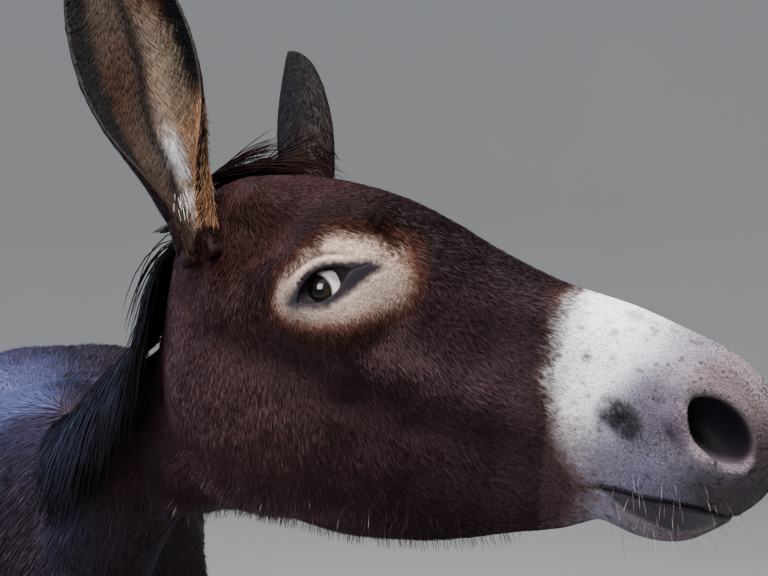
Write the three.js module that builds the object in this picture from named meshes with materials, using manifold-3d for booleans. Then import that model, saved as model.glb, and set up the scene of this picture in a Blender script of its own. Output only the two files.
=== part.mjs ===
// A donkey, life size, standing square with its head stretched forward and turned to its left.
// Millimetres. +X is forward, +Y the animal's left, +Z up, and the hooves stand on z = 0.
// The coat's outer surface is one smooth field; each sub-part is cast from it or cut from it.
import * as THREE from 'three';
import { mergeVertices } from 'three/addons/utils/BufferGeometryUtils.js';
import Module from 'manifold-3d';

const wasm = await Module();
wasm.setup();

// ------------------------------------------------------------------ driving dimensions
const GAP = 0.35;                                    // clear space between neighbours
const HEAD_LENGTH = 488;
const POLL = new THREE.Vector3(770, 120, 1308);      // top of the neck, where the head's frame starts
const HEAD_TURN = 40;                                // degrees to the left
const HEAD_DROP = 10;                                // degrees nose down
const HEAD_TILT = 2.5;                               // degrees, left side up
const NECK_ROOT = new THREE.Vector3(300, 0, 960);
const EYE_CENTRE = new THREE.Vector3(190, 74, 46);   // head frame, left eye
const EYE_RADIUS = 21;
const EAR_LENGTH = 268;
const EAR_THICKNESS = 6;
const EAR_ROOT = new THREE.Vector3(48, 60, 74);      // head frame, left ear
const LEG_TRACK = 122;                               // half the distance between a pair of legs
const FORE_STEP = { left: 25, right: -25 };          // each leg's place fore and aft of its pair
const HIND_STEP = { left: -30, right: 35 };
const HOOF = {
  soleLength: 50, soleWidth: 41, topLength: 35, topWidth: 31.5, topHeight: 54, topSlope: 0.45,
};
const NOSTRIL = { middle: [454.5, 51, 5], half: [22, 15, 26] };   // head frame, left nostril
const MOUTH = { corner: 392, height: -51.5, parting: 2.4 };      // head frame
const TASSEL_TOP = 620;                              // where the tail's dock gives way to its tassel
const SIDES = { left: 1, right: -1 };

// ------------------------------------------------------------------ colours of the coat and parts
function coat(color, roughness = 0.85) {
  return new THREE.MeshStandardMaterial({ color, roughness, metalness: 0 });
}

const DARK_COAT = 0x241a18;
const BROWN_COAT = 0x33221c;
const BLACK_HAIR = 0x14110f;

// ------------------------------------------------------------------ smooth blends and profiles
function smoothMin(a, b, k) {
  const h = Math.max(k - Math.abs(a - b), 0) / k;
  return Math.min(a, b) - h * h * k * 0.25;
}

const smoothMax = (a, b, k) => -smoothMin(-a, -b, k);
const radians = THREE.MathUtils.degToRad;
const clamp = THREE.MathUtils.clamp;

// A smooth curve through [place, value] stations: cubic pieces with slopes taken across neighbours.
function curve(stations) {
  const last = stations.length - 1;
  const slope = stations.map((s, i) => {
    const a = stations[Math.max(i - 1, 0)];
    const b = stations[Math.min(i + 1, last)];
    return (b[1] - a[1]) / (b[0] - a[0]);
  });
  return place => {
    const x = clamp(place, stations[0][0], stations[last][0]);
    let i = 0;
    while (i < last - 1 && x > stations[i + 1][0]) i += 1;
    const [x0, v0] = stations[i];
    const [x1, v1] = stations[i + 1];
    const h = x1 - x0;
    const u = (x - x0) / h;
    const u2 = u * u;
    const u3 = u2 * u;
    return (2 * u3 - 3 * u2 + 1) * v0 + (u3 - 2 * u2 + u) * h * slope[i]
      + (3 * u2 - 2 * u3) * v1 + (u3 - u2) * h * slope[i + 1];
  };
}

// Straight pieces through [place, value] stations.
function line(stations) {
  return place => {
    const x = clamp(place, stations[0][0], stations[stations.length - 1][0]);
    let i = 0;
    while (i < stations.length - 2 && x > stations[i + 1][0]) i += 1;
    const [x0, v0] = stations[i];
    const [x1, v1] = stations[i + 1];
    return v0 + (v1 - v0) * (x - x0) / (x1 - x0);
  };
}

// ------------------------------------------------------------------ distance-like fields
// Each is negative inside its shape and about the distance in millimetres outside it.
function ellipsoid(x, y, z, [cx, cy, cz], [rx, ry, rz]) {
  const a = (x - cx) / rx;
  const b = (y - cy) / ry;
  const c = (z - cz) / rz;
  const k0 = Math.hypot(a, b, c);
  const k1 = Math.hypot(a / rx, b / ry, c / rz);
  return k0 * (k0 - 1) / Math.max(k1, 1e-9);
}

// A round bar from a to b whose radius goes from ra to rb; flat < 1 makes it thinner across.
function bar(x, y, z, a, b, ra, rb, flat = 1) {
  const ax = x - a[0];
  const ay = (y - a[1]) / flat;
  const az = z - a[2];
  const dx = b[0] - a[0];
  const dy = (b[1] - a[1]) / flat;
  const dz = b[2] - a[2];
  const h = clamp((ax * dx + ay * dy + az * dz) / (dx * dx + dy * dy + dz * dz), 0, 1);
  return Math.hypot(ax - h * dx, ay - h * dy, az - h * dz) - (ra + (rb - ra) * h);
}

// A cross-section that is a superellipse: half wide, up above its middle and down below it.
function section(across, height, half, up, down, powerUp = 2, powerDown = 2) {
  const reach = height > 0 ? up : down;
  const n = height > 0 ? powerUp : powerDown;
  const rho = (Math.abs(across / half) ** n + Math.abs(height / reach) ** n) ** (1 / n);
  return (Math.hypot(across, height) + 1e-9) * (1 - 1 / Math.max(rho, 1e-6));
}

// ------------------------------------------------------------------ head, in its own frame
const headTop = curve([[-25, 50], [10, 98], [54, 119], [100, 126], [145, 127], [198, 120], [242, 107],
  [284, 91], [331, 77], [395, 64], [428, 54], [456, 40], [474, 22], [488, -8]]);
const faceHalf = curve([[-25, 40], [18, 66], [64, 84], [118, 92], [164, 93], [191, 89], [236, 74],
  [291, 62], [346, 54], [391, 50], [428, 52], [460, 47], [488, 30]]);
const jawBottom = curve([[0, -92], [35, -132], [72, -154], [118, -165], [164, -166], [200, -163],
  [246, -153], [286, -140], [323, -124], [364, -105], [392, -87], [425, -77], [458, -62], [488, -34]]);
const jawHalf = curve([[0, 58], [45, 72], [100, 79], [164, 77], [218, 67], [282, 55], [337, 47],
  [382, 42], [418, 41], [455, 34], [488, 20]]);
const faceMiddle = line([[0, 25], [190, 34], [380, 10], [488, -12]]);
const jawMiddle = line([[0, -20], [120, -45], [290, -40], [428, -28], [488, -26]]);
const faceDown = line([[0, 75], [200, 74], [488, 38]]);
const jawUp = line([[0, 90], [200, 84], [488, 40]]);

function headField(x, side, z) {
  const y = Math.abs(side);
  const middle = faceMiddle(x);
  let f = section(y, z - middle, faceHalf(x), headTop(x) - middle, faceDown(x), 2.2, 2.2);
  const jaw = jawMiddle(x);
  f = smoothMin(f, section(y, z - jaw, jawHalf(x), jawUp(x), jaw - jawBottom(x), 2.2, 2.1), 30);
  f = smoothMax(f, x - (HEAD_LENGTH - 4), 56);
  f = smoothMax(f, -14 - x, 80);
  f = smoothMin(f, bar(x, y, z, [100, 0, -145], [30, 0, -170], 24, 24), 40);            // throat
  f = smoothMin(f, ellipsoid(x, y, z, [124, 54, -60], [84, 38, 88]), 26);               // cheek muscle
  f = smoothMin(f, ellipsoid(x, y, z, [186, 70, 46], [48, 29, 38]), 30);                // eye socket
  f = smoothMin(f, bar(x, y, z, [152, 70, 76], [206, 66, 84], 14, 14), 40);             // brow
  f = smoothMin(f, bar(x, y, z, [213, 72, 8], [114, 82, 20], 13, 10), 44);              // cheek bone
  f = smoothMin(f, bar(x, y, z, [220, 66, -2], [306, 52, -14], 12, 7), 36);             // its crest
  f = smoothMax(f, -ellipsoid(x, y, z, [128, 96, 86], [28, 18, 18]), 34);               // over the eye
  f = smoothMax(f, -ellipsoid(x, y, z, [336, 88, 26], [82, 30, 26]), 40);               // side of the nose
  f = smoothMin(f, ellipsoid(x, y, z, [438, 32, 4], [42, 30, 34]), 30);                 // nostril wing
  f = smoothMin(f, ellipsoid(x, y, z, [448, 0, -18], [40, 46, 42]), 34);                // upper lip
  f = smoothMin(f, ellipsoid(x, y, z, [425, 0, -58], [41, 35, 22]), 16);                // lower lip
  return smoothMin(f, ellipsoid(x, y, z, [422, 0, -70], [32, 32, 18]), 14);             // chin
}

// ------------------------------------------------------------------ trunk
const back = curve([[-660, 930], [-620, 1030], [-560, 1106], [-480, 1162], [-400, 1184], [-300, 1180],
  [-150, 1158], [0, 1146], [150, 1152], [260, 1174], [350, 1190], [440, 1176], [520, 1112], [600, 1000]]);
const belly = curve([[-660, 860], [-600, 760], [-520, 734], [-420, 736], [-320, 708], [-200, 660],
  [-80, 634], [60, 624], [200, 628], [320, 644], [420, 672], [500, 712], [560, 774], [600, 860]]);
const flank = curve([[-660, 40], [-600, 112], [-520, 162], [-420, 194], [-300, 208], [-150, 228], [0, 236],
  [120, 228], [240, 205], [360, 176], [460, 152], [540, 122], [600, 66]]);
const CHEST_END = 575;
const RUMP_END = -640;

function barrelField(x, y, z) {
  const top = back(x);
  const bottom = belly(x);
  const middle = (top + bottom) / 2;
  let f = section(y, z - middle, flank(x), top - middle, middle - bottom, 2.1, 2.2);
  f = smoothMax(f, x - CHEST_END, 90);
  return smoothMax(f, RUMP_END - x, 90);
}

function shoulderField(x, y, z) {
  const f = bar(x, y, z, [330, 96, 1080], [464, 108, 850], 72, 84, 0.8);
  return smoothMin(f, bar(x, y, z, [460, 112, 830], [398, 126, 720], 84, 76, 0.8), 70);
}

const croupField = (x, y, z) => ellipsoid(x, y, z, [-400, 110, 1060], [150, 92, 110]);

// ------------------------------------------------------------------ neck, along one curve to the skull
const headTurn = new THREE.Matrix4().makeRotationZ(radians(HEAD_TURN));
const headDrop = new THREE.Matrix4().makeRotationY(radians(HEAD_DROP));
const headTilt = new THREE.Matrix4().makeRotationX(radians(HEAD_TILT));
const headMatrix = headTurn.multiply(headDrop).multiply(headTilt).setPosition(POLL);
const headInverse = headMatrix.clone().invert();
const inHead = (x, y, z) => new THREE.Vector3(x, y, z).applyMatrix4(headMatrix);
const headDirection = (x, y, z) => new THREE.Vector3(x, y, z).transformDirection(headMatrix);

const neckEnd = inHead(60, 0, -30);
const neckSpan = neckEnd.distanceTo(NECK_ROOT);
const leaving = new THREE.Vector3(1, 0, 0.28).normalize();
const arriving = headDirection(0.8, 0, 0.6);
const neckSpine = new THREE.CubicBezierCurve3(
  NECK_ROOT,
  NECK_ROOT.clone().addScaledVector(leaving, neckSpan * 0.34),
  neckEnd.clone().addScaledVector(arriving, -neckSpan * 0.3),
  neckEnd,
);
const neckRise = curve([[0, 205], [0.2, 173], [0.4, 118], [0.6, 88], [0.8, 87], [1, 88]]);   // to the crest
const neckDepth = curve([[0, 235], [0.2, 218], [0.4, 178], [0.6, 146], [0.8, 124], [1, 110]]);   // to throat
const neckHalf = curve([[0, 160], [0.2, 130], [0.4, 98], [0.6, 76], [0.8, 66], [1, 62]]);
const trunkLeft = new THREE.Vector3(0, 1, 0);
const headLeft = headDirection(0, 1, 0);
const NECK_SAMPLES = 96;

// The neck's frame at u along its spine: its middle, forward, left and up.
function neckFrame(u) {
  const middle = neckSpine.getPoint(u);
  const forward = neckSpine.getTangent(u);
  const left = trunkLeft.clone().lerp(headLeft, u);
  left.addScaledVector(forward, -left.dot(forward)).normalize();
  return { middle, forward, left, up: forward.clone().cross(left) };
}

const neckFrames = Array.from({ length: NECK_SAMPLES + 1 }, (_, i) => neckFrame(i / NECK_SAMPLES));

function neckField(x, y, z) {
  const point = new THREE.Vector3(x, y, z);
  let nearest = 0;
  let least = Infinity;
  neckFrames.forEach((frame, i) => {
    const d = frame.middle.distanceToSquared(point);
    if (d < least) {
      least = d;
      nearest = i;
    }
  });
  const { middle, forward, left, up } = neckFrames[nearest];
  const u = nearest / NECK_SAMPLES;
  point.sub(middle);
  const height = point.dot(up);
  const depth = neckDepth(u);
  const crest = 1 - 0.22 * clamp(height / depth, -1, 1);
  const f = section(point.dot(left), height, neckHalf(u) * crest, neckRise(u), depth, 2, 2.1);
  return smoothMax(f, Math.abs(point.dot(forward)) - 10, 60);
}

// ------------------------------------------------------------------ legs, as the left one of each pair
const T = LEG_TRACK;
const thighBars = [
  [[-400, T, 930], [-330, T + 28, 770], 150, 100, 0.62],
  [[-500, T - 10, 940], [-480, T + 16, 740], 118, 90, 0.62],
];

function thighField(x, y, z) {
  return smoothMin(bar(x, y, z, ...thighBars[0]), bar(x, y, z, ...thighBars[1]), 60);
}

function forelegField(x, y, z) {
  let f = bar(x, y, z, [392, T + 6, 700], [400, T, 430], 66, 36, 0.82);                  // forearm
  f = smoothMin(f, bar(x, y, z, [388, T + 14, 660], [398, T + 6, 540], 48, 30, 0.9), 30);
  f = smoothMin(f, ellipsoid(x, y, z, [402, T, 396], [36, 33, 46]), 24);                 // knee
  f = smoothMin(f, bar(x, y, z, [398, T, 370], [400, T, 190], 25, 22, 0.86), 16);        // cannon bone
  f = smoothMin(f, bar(x, y, z, [386, T, 360], [388, T, 200], 13, 13), 12);              // its tendon
  f = smoothMin(f, ellipsoid(x, y, z, [400, T, 172], [31, 27, 30]), 16);                 // fetlock
  f = smoothMin(f, ellipsoid(x, y, z, [384, T, 166], [18, 18, 20]), 12);
  return smoothMin(f, bar(x, y, z, [406, T, 160], [436, T, 60], 24, 31, 0.95), 14);      // pastern
}

function hindlegField(x, y, z) {
  let f = thighField(x, y, z);
  f = smoothMin(f, bar(x, y, z, [-400, T + 20, 740], [-535, T + 8, 540], 92, 40, 0.7), 60);   // gaskin
  f = smoothMin(f, bar(x, y, z, [-520, T + 8, 700], [-592, T + 4, 530], 42, 17, 0.7), 50);    // its tendon
  f = smoothMin(f, ellipsoid(x, y, z, [-566, T + 4, 474], [42, 32, 54]), 26);                 // hock
  f = smoothMin(f, bar(x, y, z, [-592, T + 4, 520], [-580, T + 4, 440], 18, 16), 22);
  f = smoothMin(f, bar(x, y, z, [-562, T + 4, 450], [-548, T + 4, 205], 26, 22, 0.9), 24);   // cannon
  f = smoothMin(f, bar(x, y, z, [-576, T + 4, 430], [-562, T + 4, 210], 12, 12), 14);
  f = smoothMin(f, ellipsoid(x, y, z, [-546, T + 4, 180], [32, 28, 31]), 16);                 // fetlock
  f = smoothMin(f, ellipsoid(x, y, z, [-562, T + 4, 172], [18, 18, 20]), 12);
  return smoothMin(f, bar(x, y, z, [-540, T + 4, 165], [-508, T + 4, 60], 25, 31, 0.95), 14); // pastern
}

// Trunk and neck as one surface, with the tops of the thighs.
function bodyField(x, y, z) {
  const across = Math.abs(y);
  const side = y > 0 ? 'left' : 'right';
  let f = barrelField(x, y, z);
  f = smoothMin(f, shoulderField(x, across, z), 60);
  f = smoothMin(f, croupField(x, across, z), 70);
  f = smoothMin(f, thighField(x - HIND_STEP[side], across, z), 50);
  return smoothMin(f, neckField(x, y, z), 70);
}

// ------------------------------------------------------------------ meshes from fields
// Rays leave the spine's stations and stop where the field reaches level. At each end a dome of
// rays from the last station closes the surface. Rings run from the spine's start to its end.
function castSurface({ field, frames, around, dome = [30, 60], stride = 12, reach = 700, level = 0 }) {
  const rings = [
    ...dome.slice().reverse().map(tilt => ({ frame: frames[0], tilt: -tilt })),
    ...frames.map(frame => ({ frame, tilt: 0 })),
    ...dome.map(tilt => ({ frame: frames[frames.length - 1], tilt })),
  ];
  const hit = (middle, direction) => {
    const value = r => field(...middle.clone().addScaledVector(direction, r).toArray()) - level;
    let outside = stride;
    while (value(outside) < 0 && outside < reach) outside += stride;
    let inside = outside - stride;
    for (let i = 0; i < 14; i += 1) {
      const r = (inside + outside) / 2;
      if (value(r) < 0) inside = r;
      else outside = r;
    }
    return middle.clone().addScaledVector(direction, inside);
  };
  const points = [];
  for (const { frame, tilt } of rings) {
    for (let j = 0; j < around; j += 1) {
      const turn = 2 * Math.PI * j / around;
      const direction = frame.left.clone().multiplyScalar(Math.cos(turn))
        .addScaledVector(frame.up, Math.sin(turn))
        .multiplyScalar(Math.cos(radians(tilt)))
        .addScaledVector(frame.forward, Math.sin(radians(tilt)));
      points.push(hit(frame.middle, direction));
    }
  }
  const first = frames[0];
  const last = frames[frames.length - 1];
  points.push(hit(first.middle, first.forward.clone().negate()));
  points.push(hit(last.middle, last.forward));
  return ringSurface(points, rings.length, around);
}

// A closed surface from rings of points followed by its two end points.
function ringSurface(points, rings, around) {
  const index = [];
  for (let i = 0; i < rings - 1; i += 1) {
    for (let j = 0; j < around; j += 1) {
      const a = i * around + j;
      const b = i * around + (j + 1) % around;
      index.push(a, b, b + around, a, b + around, a + around);
    }
  }
  const start = rings * around;
  for (let j = 0; j < around; j += 1) {
    const k = (j + 1) % around;
    index.push(start, k, j);
    index.push(start + 1, (rings - 1) * around + j, (rings - 1) * around + k);
  }
  const geometry = new THREE.BufferGeometry().setFromPoints(points);
  geometry.setIndex(index);
  return geometry;
}

function solidOf(geometry) {
  const bare = geometry.clone();
  bare.deleteAttribute('normal');
  bare.deleteAttribute('uv');
  const merged = mergeVertices(bare, 1e-4);
  return new wasm.Manifold(new wasm.Mesh({
    numProp: 3,
    vertProperties: new Float32Array(merged.attributes.position.array),
    triVerts: new Uint32Array(merged.index.array),
  }));
}

function geometryOf(solid) {
  const mesh = solid.getMesh();
  const geometry = new THREE.BufferGeometry();
  geometry.setAttribute('position', new THREE.BufferAttribute(mesh.vertProperties, 3));
  geometry.setIndex(new THREE.BufferAttribute(mesh.triVerts, 1));
  return geometry;
}

// A large block whose one face passes through point, lying on the side that outward points to.
function halfSpace(point, outward) {
  const size = 4000;
  const block = new THREE.BoxGeometry(size, size, size);
  block.translate(0, 0, size / 2);
  const upward = new THREE.Vector3(0, 0, 1);
  block.applyQuaternion(new THREE.Quaternion().setFromUnitVectors(upward, outward.clone().normalize()));
  block.translate(point.x, point.y, point.z);
  return solidOf(block);
}

// Frames along a list of middles, with their left held as level as the spine allows.
function framesAlong(middles, left) {
  return middles.map((middle, i) => {
    const forward = middles[Math.min(i + 1, middles.length - 1)].clone()
      .sub(middles[Math.max(i - 1, 0)]).normalize();
    const across = left.clone().addScaledVector(forward, -left.dot(forward)).normalize();
    return { middle, forward, left: across, up: forward.clone().cross(across) };
  });
}

const spread = (count, first, last) => Array.from(
  { length: count },
  (_, i) => first + (last - first) * i / (count - 1),
);

// ------------------------------------------------------------------ trunk and neck
const TRUNK_STATIONS = 16;
const SHOULDER_STATIONS = 4;
const CHEST_STATIONS = 7;
const NECK_STATIONS = 6;
const BODY_AROUND = 26;
const NECK_CUT = 0.3;                                 // where neck and trunk meet, along the neck's spine

// Frames down the barrel are upright; through the shoulders they lean over to meet the neck's first.
function trunkFrame(x, lean) {
  const forward = new THREE.Vector3(1, 0, 0).lerp(leaving, lean).normalize();
  const middle = new THREE.Vector3(x, 0, THREE.MathUtils.lerp(930, NECK_ROOT.z, lean));
  return { middle, forward, left: trunkLeft, up: forward.clone().cross(trunkLeft) };
}

const SHOULDER_START = 110;
const bodyFrames = [
  ...spread(TRUNK_STATIONS, -590, SHOULDER_START).map(x => trunkFrame(x, 0)),
  ...spread(SHOULDER_STATIONS + 1, 0, 1).slice(1)
    .map(t => trunkFrame(THREE.MathUtils.lerp(SHOULDER_START, NECK_ROOT.x, t), t)),
  ...spread(CHEST_STATIONS, 0.04, 0.3).map(neckFrame),
  ...spread(NECK_STATIONS, 0.4, 0.9).map(neckFrame),
];
const body = { field: bodyField, frames: bodyFrames, around: BODY_AROUND };
const bodySolid = solidOf(castSurface(body));
const bodyClearance = solidOf(castSurface({ ...body, level: GAP }));
const neckCut = neckFrame(NECK_CUT);
const neckCutNormal = neckCut.forward.clone().addScaledVector(neckCut.up, 0.15).normalize();

// ------------------------------------------------------------------ head
const HEAD_STATIONS = 23;
const HEAD_AROUND = 26;
const headSpineHeight = curve([[20, -20], [120, -16], [250, -8], [400, -10], [450, -16]]);
const headFrames = framesAlong(
  spread(HEAD_STATIONS, 45, 448).map(x => new THREE.Vector3(x, 0, headSpineHeight(x))),
  trunkLeft,
);
const headCast = {
  field: headField, frames: headFrames, around: HEAD_AROUND, stride: 6, dome: [22, 44, 66],
};
const headShape = castSurface(headCast).applyMatrix4(headMatrix);
const headClearance = solidOf(castSurface({ ...headCast, level: GAP }).applyMatrix4(headMatrix));
const hideClearance = bodyClearance.add(headClearance);

// A frame at each eye: along the lids, up across them, and out of the socket.
function eyeMatrix(side, depth) {
  const out = new THREE.Vector3(0.40, 0.90, 0.16).normalize();
  const along = new THREE.Vector3(0.82, -0.30, 0.50);
  along.addScaledVector(out, -along.dot(out)).normalize();
  const basis = new THREE.Matrix4().makeBasis(along, out.clone().cross(along), out);
  basis.setPosition(EYE_CENTRE.clone().addScaledVector(out, depth));
  const mirror = new THREE.Matrix4().makeScale(1, side, 1);
  return headMatrix.clone().multiply(mirror).multiply(basis);
}

// Turns a mirrored geometry's faces outward again.
function facingOut(geometry) {
  const flipped = geometry.index ? geometry : mergeVertices(geometry);
  const order = flipped.index.array;
  for (let i = 0; i < order.length; i += 3) [order[i + 1], order[i + 2]] = [order[i + 2], order[i + 1]];
  return flipped;
}

function placed(geometry, matrix) {
  const moved = geometry.applyMatrix4(matrix);
  return matrix.determinant() < 0 ? facingOut(moved) : moved;
}

const eyeCentre = side => new THREE.Vector3().setFromMatrixPosition(eyeMatrix(side, 0));
const ball = radius => new THREE.SphereGeometry(radius, 14, 9);

function lidOpening(side) {
  const half = 25;
  const rise = 16;
  const almond = new THREE.Shape();
  almond.moveTo(-half, 0);
  almond.quadraticCurveTo(0, rise * 1.5, half, 0);
  almond.quadraticCurveTo(0, -rise * 1.5, -half, 0);
  const prism = new THREE.ExtrudeGeometry(almond, { depth: 40, bevelEnabled: false, curveSegments: 5 });
  return solidOf(placed(prism, eyeMatrix(side, 4)));
}

function nostrilHollow(side) {
  const inward = new THREE.Vector3(0.46, 0.86, 0.20).normalize();
  const along = new THREE.Vector3(0.69, -0.205, -0.686).normalize();
  const basis = new THREE.Matrix4().makeBasis(along, inward.clone().cross(along).normalize(), inward);
  basis.setPosition(...NOSTRIL.middle);
  const hollow = new THREE.SphereGeometry(1, 10, 6).scale(...NOSTRIL.half);
  const mirror = new THREE.Matrix4().makeScale(1, side, 1);
  return solidOf(placed(hollow, headMatrix.clone().multiply(mirror).multiply(basis)));
}

// The parting of the lips: a thin U-shaped slot from corner to corner.
function mouthSlot() {
  const { corner, parting, height } = MOUTH;
  const front = HEAD_LENGTH + 32;
  const wide = 70;
  const inner = 24;
  const innerFront = HEAD_LENGTH - 26;
  const outline = new THREE.Shape();
  outline.moveTo(corner, -wide);
  outline.lineTo(front, -wide);
  outline.lineTo(front, wide);
  outline.lineTo(corner, wide);
  outline.lineTo(corner, inner);
  outline.lineTo(innerFront, inner * 0.7);
  outline.lineTo(innerFront, -inner * 0.7);
  outline.lineTo(corner, -inner);
  const slot = new THREE.ExtrudeGeometry(outline, { depth: parting, bevelEnabled: false });
  slot.translate(0, 0, height);
  return solidOf(slot.applyMatrix4(headMatrix));
}

let headSolid = solidOf(headShape).subtract(mouthSlot());
for (const side of Object.values(SIDES)) {
  const socket = ball(EYE_RADIUS + GAP).translate(...eyeCentre(side).toArray());
  headSolid = headSolid.subtract(lidOpening(side)).subtract(solidOf(socket)).subtract(nostrilHollow(side));
}

// ------------------------------------------------------------------ ears
// Each is a leaf rolled across its length: nearly a tube at the root and open above.
const earAxis = {
  left: new THREE.Vector3(-0.49, 0.52, 0.69).normalize(),
  right: new THREE.Vector3(-0.47, -0.06, 0.88).normalize(),
};
const earOpening = {
  left: new THREE.Vector3(0.62, 0.78, -0.1),
  right: new THREE.Vector3(0.62, -0.78, -0.1),
};
const earHalf = curve([[0, 40], [0.1, 48], [0.25, 58], [0.42, 63], [0.6, 58], [0.78, 44], [0.9, 27],
  [0.97, 13], [1, 5]]);
const earRoll = curve([[0, 150], [0.12, 128], [0.3, 92], [0.5, 74], [0.75, 62], [1, 50]]);
const EAR_RINGS = 12;
const EAR_ACROSS = 7;

function earSurface(name) {
  const axis = earAxis[name];
  const open = earOpening[name].clone();
  open.addScaledVector(axis, -open.dot(axis)).normalize();
  const across = axis.clone().cross(open);
  const root = EAR_ROOT.clone();
  root.y *= SIDES[name];
  const point = (t, k, wall) => {
    const roll = radians(earRoll(t));
    const radius = earHalf(t) / roll;
    const turn = k * roll;
    const depth = radius * (1 - Math.cos(turn)) - 10 * Math.sin(Math.PI * t) + 10;
    return root.clone()
      .addScaledVector(axis, EAR_LENGTH * t)
      .addScaledVector(open, depth + wall * Math.cos(turn))
      .addScaledVector(across, radius * Math.sin(turn) - wall * Math.sin(turn));
  };
  const points = [];
  const rings = spread(EAR_RINGS, 0, 1).map(t => Math.sin(t * Math.PI / 2));
  for (const t of rings) {
    const wall = EAR_THICKNESS / 2 * (1 - 0.5 * t);
    spread(EAR_ACROSS, -1, 1).forEach(k => points.push(point(t, k, wall * Math.sqrt(1 - 0.75 * k ** 6))));
    spread(EAR_ACROSS, 1, -1).forEach(k => points.push(point(t, k, -wall * Math.sqrt(1 - 0.75 * k ** 6))));
  }
  points.push(point(0, 0, 0), point(1, 0, 0).addScaledVector(axis, 2));
  return ringSurface(points, EAR_RINGS, 2 * EAR_ACROSS).applyMatrix4(headMatrix);
}

// ------------------------------------------------------------------ hooves
const hoofTop = (x, centre) => HOOF.topHeight + HOOF.topSlope * (x - centre);

function hoofSurface(toe, track) {
  const around = 16;
  const lean = 15;
  const rings = [
    { size: 0.93, rise: 0 },
    { size: 1, rise: 0.06 },
    { size: 0, rise: 1 },
  ];
  const turns = spread(around + 1, 0, 2 * Math.PI).slice(0, -1);
  const points = rings.flatMap(({ size, rise }) => turns.map(turn => {
    const heel = Math.cos(turn) < 0 ? 0.86 : 1;
    const topX = toe + HOOF.topLength * Math.cos(turn);
    const topY = HOOF.topWidth * Math.sin(turn);
    const soleX = toe + lean + HOOF.soleLength * Math.cos(turn) * heel;
    const soleY = HOOF.soleWidth * Math.sin(turn);
    const high = hoofTop(topX, toe);
    if (size === 0) return new THREE.Vector3(topX, track + topY, high);
    return new THREE.Vector3(
      topX + (soleX - topX) * (1 - rise) * size,
      track + topY + (soleY - topY) * (1 - rise) * size,
      high * rise,
    );
  }));
  points.push(new THREE.Vector3(toe + lean, track, 0), new THREE.Vector3(toe, track, HOOF.topHeight));
  return ringSurface(points, rings.length, around);
}

// ------------------------------------------------------------------ legs
const foreSpine = [[396, T + 4, 760], [400, T, 430], [401, T, 300], [400, T, 172], [424, T, 110],
  [434, T, 78]];
const hindSpine = [[-430, T + 20, 760], [-450, T + 16, 690], [-545, T + 6, 530], [-566, T + 4, 470],
  [-556, T + 4, 330], [-546, T + 4, 180], [-524, T + 4, 110], [-515, T + 4, 78]];

// Each leg's top draws in a little, so that the trunk wraps it.
const withdrawn = line([[640, 0], [690, 8], [780, 38]]);

function legSurface({ field, spine, stations, around }, step, side) {
  const path = new THREE.CatmullRomCurve3(spine.map(p => new THREE.Vector3(...p)), false, 'centripetal');
  const middles = path.getSpacedPoints(stations - 1)
    .map(p => new THREE.Vector3(p.x + step, p.y * side, p.z));
  return castSurface({
    field: (x, y, z) => field(x - step, y * side, z) + withdrawn(z),
    frames: framesAlong(middles, trunkLeft),
    around,
    stride: 6,
    dome: [45],
  });
}

const legs = [
  {
    pair: 'foreleg', field: forelegField, spine: foreSpine, stations: 15, around: 12,
    steps: FORE_STEP, toe: 440, track: T,
  },
  {
    pair: 'hindleg', field: hindlegField, spine: hindSpine, stations: 17, around: 14,
    steps: HIND_STEP, toe: -510, track: T + 4,
  },
];

// ------------------------------------------------------------------ tail
const tailRun = [[-590, 1020], [-645, 1000], [-684, 920], [-692, 800], [-690, 640], [-688, 600]];
const tailPath = new THREE.CatmullRomCurve3(tailRun.map(([x, z]) => new THREE.Vector3(x, 0, z)));
const tasselPath = new THREE.CatmullRomCurve3([[-688, 625], [-690, 540], [-694, 440], [-698, 330]]
  .map(([x, z]) => new THREE.Vector3(x, 0, z)));
const dockRadius = line([[0, 44], [0.25, 34], [0.6, 22], [1, 15]]);
const tasselRadius = curve([[0, 18], [0.15, 30], [0.45, 40], [0.8, 27], [1, 8]]);

// A closed tube whose radius changes along its path; flat < 1 makes it thinner upward.
function taperedTube(path, radius, stations, around, flat = 1) {
  const middles = path.getSpacedPoints(stations - 1);
  const frames = framesAlong(middles, trunkLeft);
  const points = frames.flatMap((frame, i) => spread(around + 1, 0, 2 * Math.PI).slice(0, -1).map(turn => {
    const r = radius(i / (stations - 1));
    return frame.middle.clone()
      .addScaledVector(frame.left, r * Math.cos(turn))
      .addScaledVector(frame.up, flat * r * Math.sin(turn));
  }));
  points.push(middles[0].clone(), middles[stations - 1].clone());
  return ringSurface(points, stations, around);
}

// ------------------------------------------------------------------ mane and forelock
// Hair is one lobe that lies over the crest and hangs down the right side of the neck.
const MANE_STATIONS = 12;
const MANE_ACROSS = 6;
const MANE_ROOTS = 18;                                // from the crest to the lobe's left edge
const maneDepth = curve([[0, 3], [0.15, 11], [0.6, 17], [1, 14]]);
const maneFall = curve([[0, 20], [0.25, 90], [0.7, 125], [1, 80]]);   // from the crest down the right side

// Trunk, neck and head as one surface.
function hideField(point) {
  const inHeadFrame = point.clone().applyMatrix4(headInverse);
  return smoothMin(bodyField(...point.toArray()), headField(...inHeadFrame.toArray()), 20);
}

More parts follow.
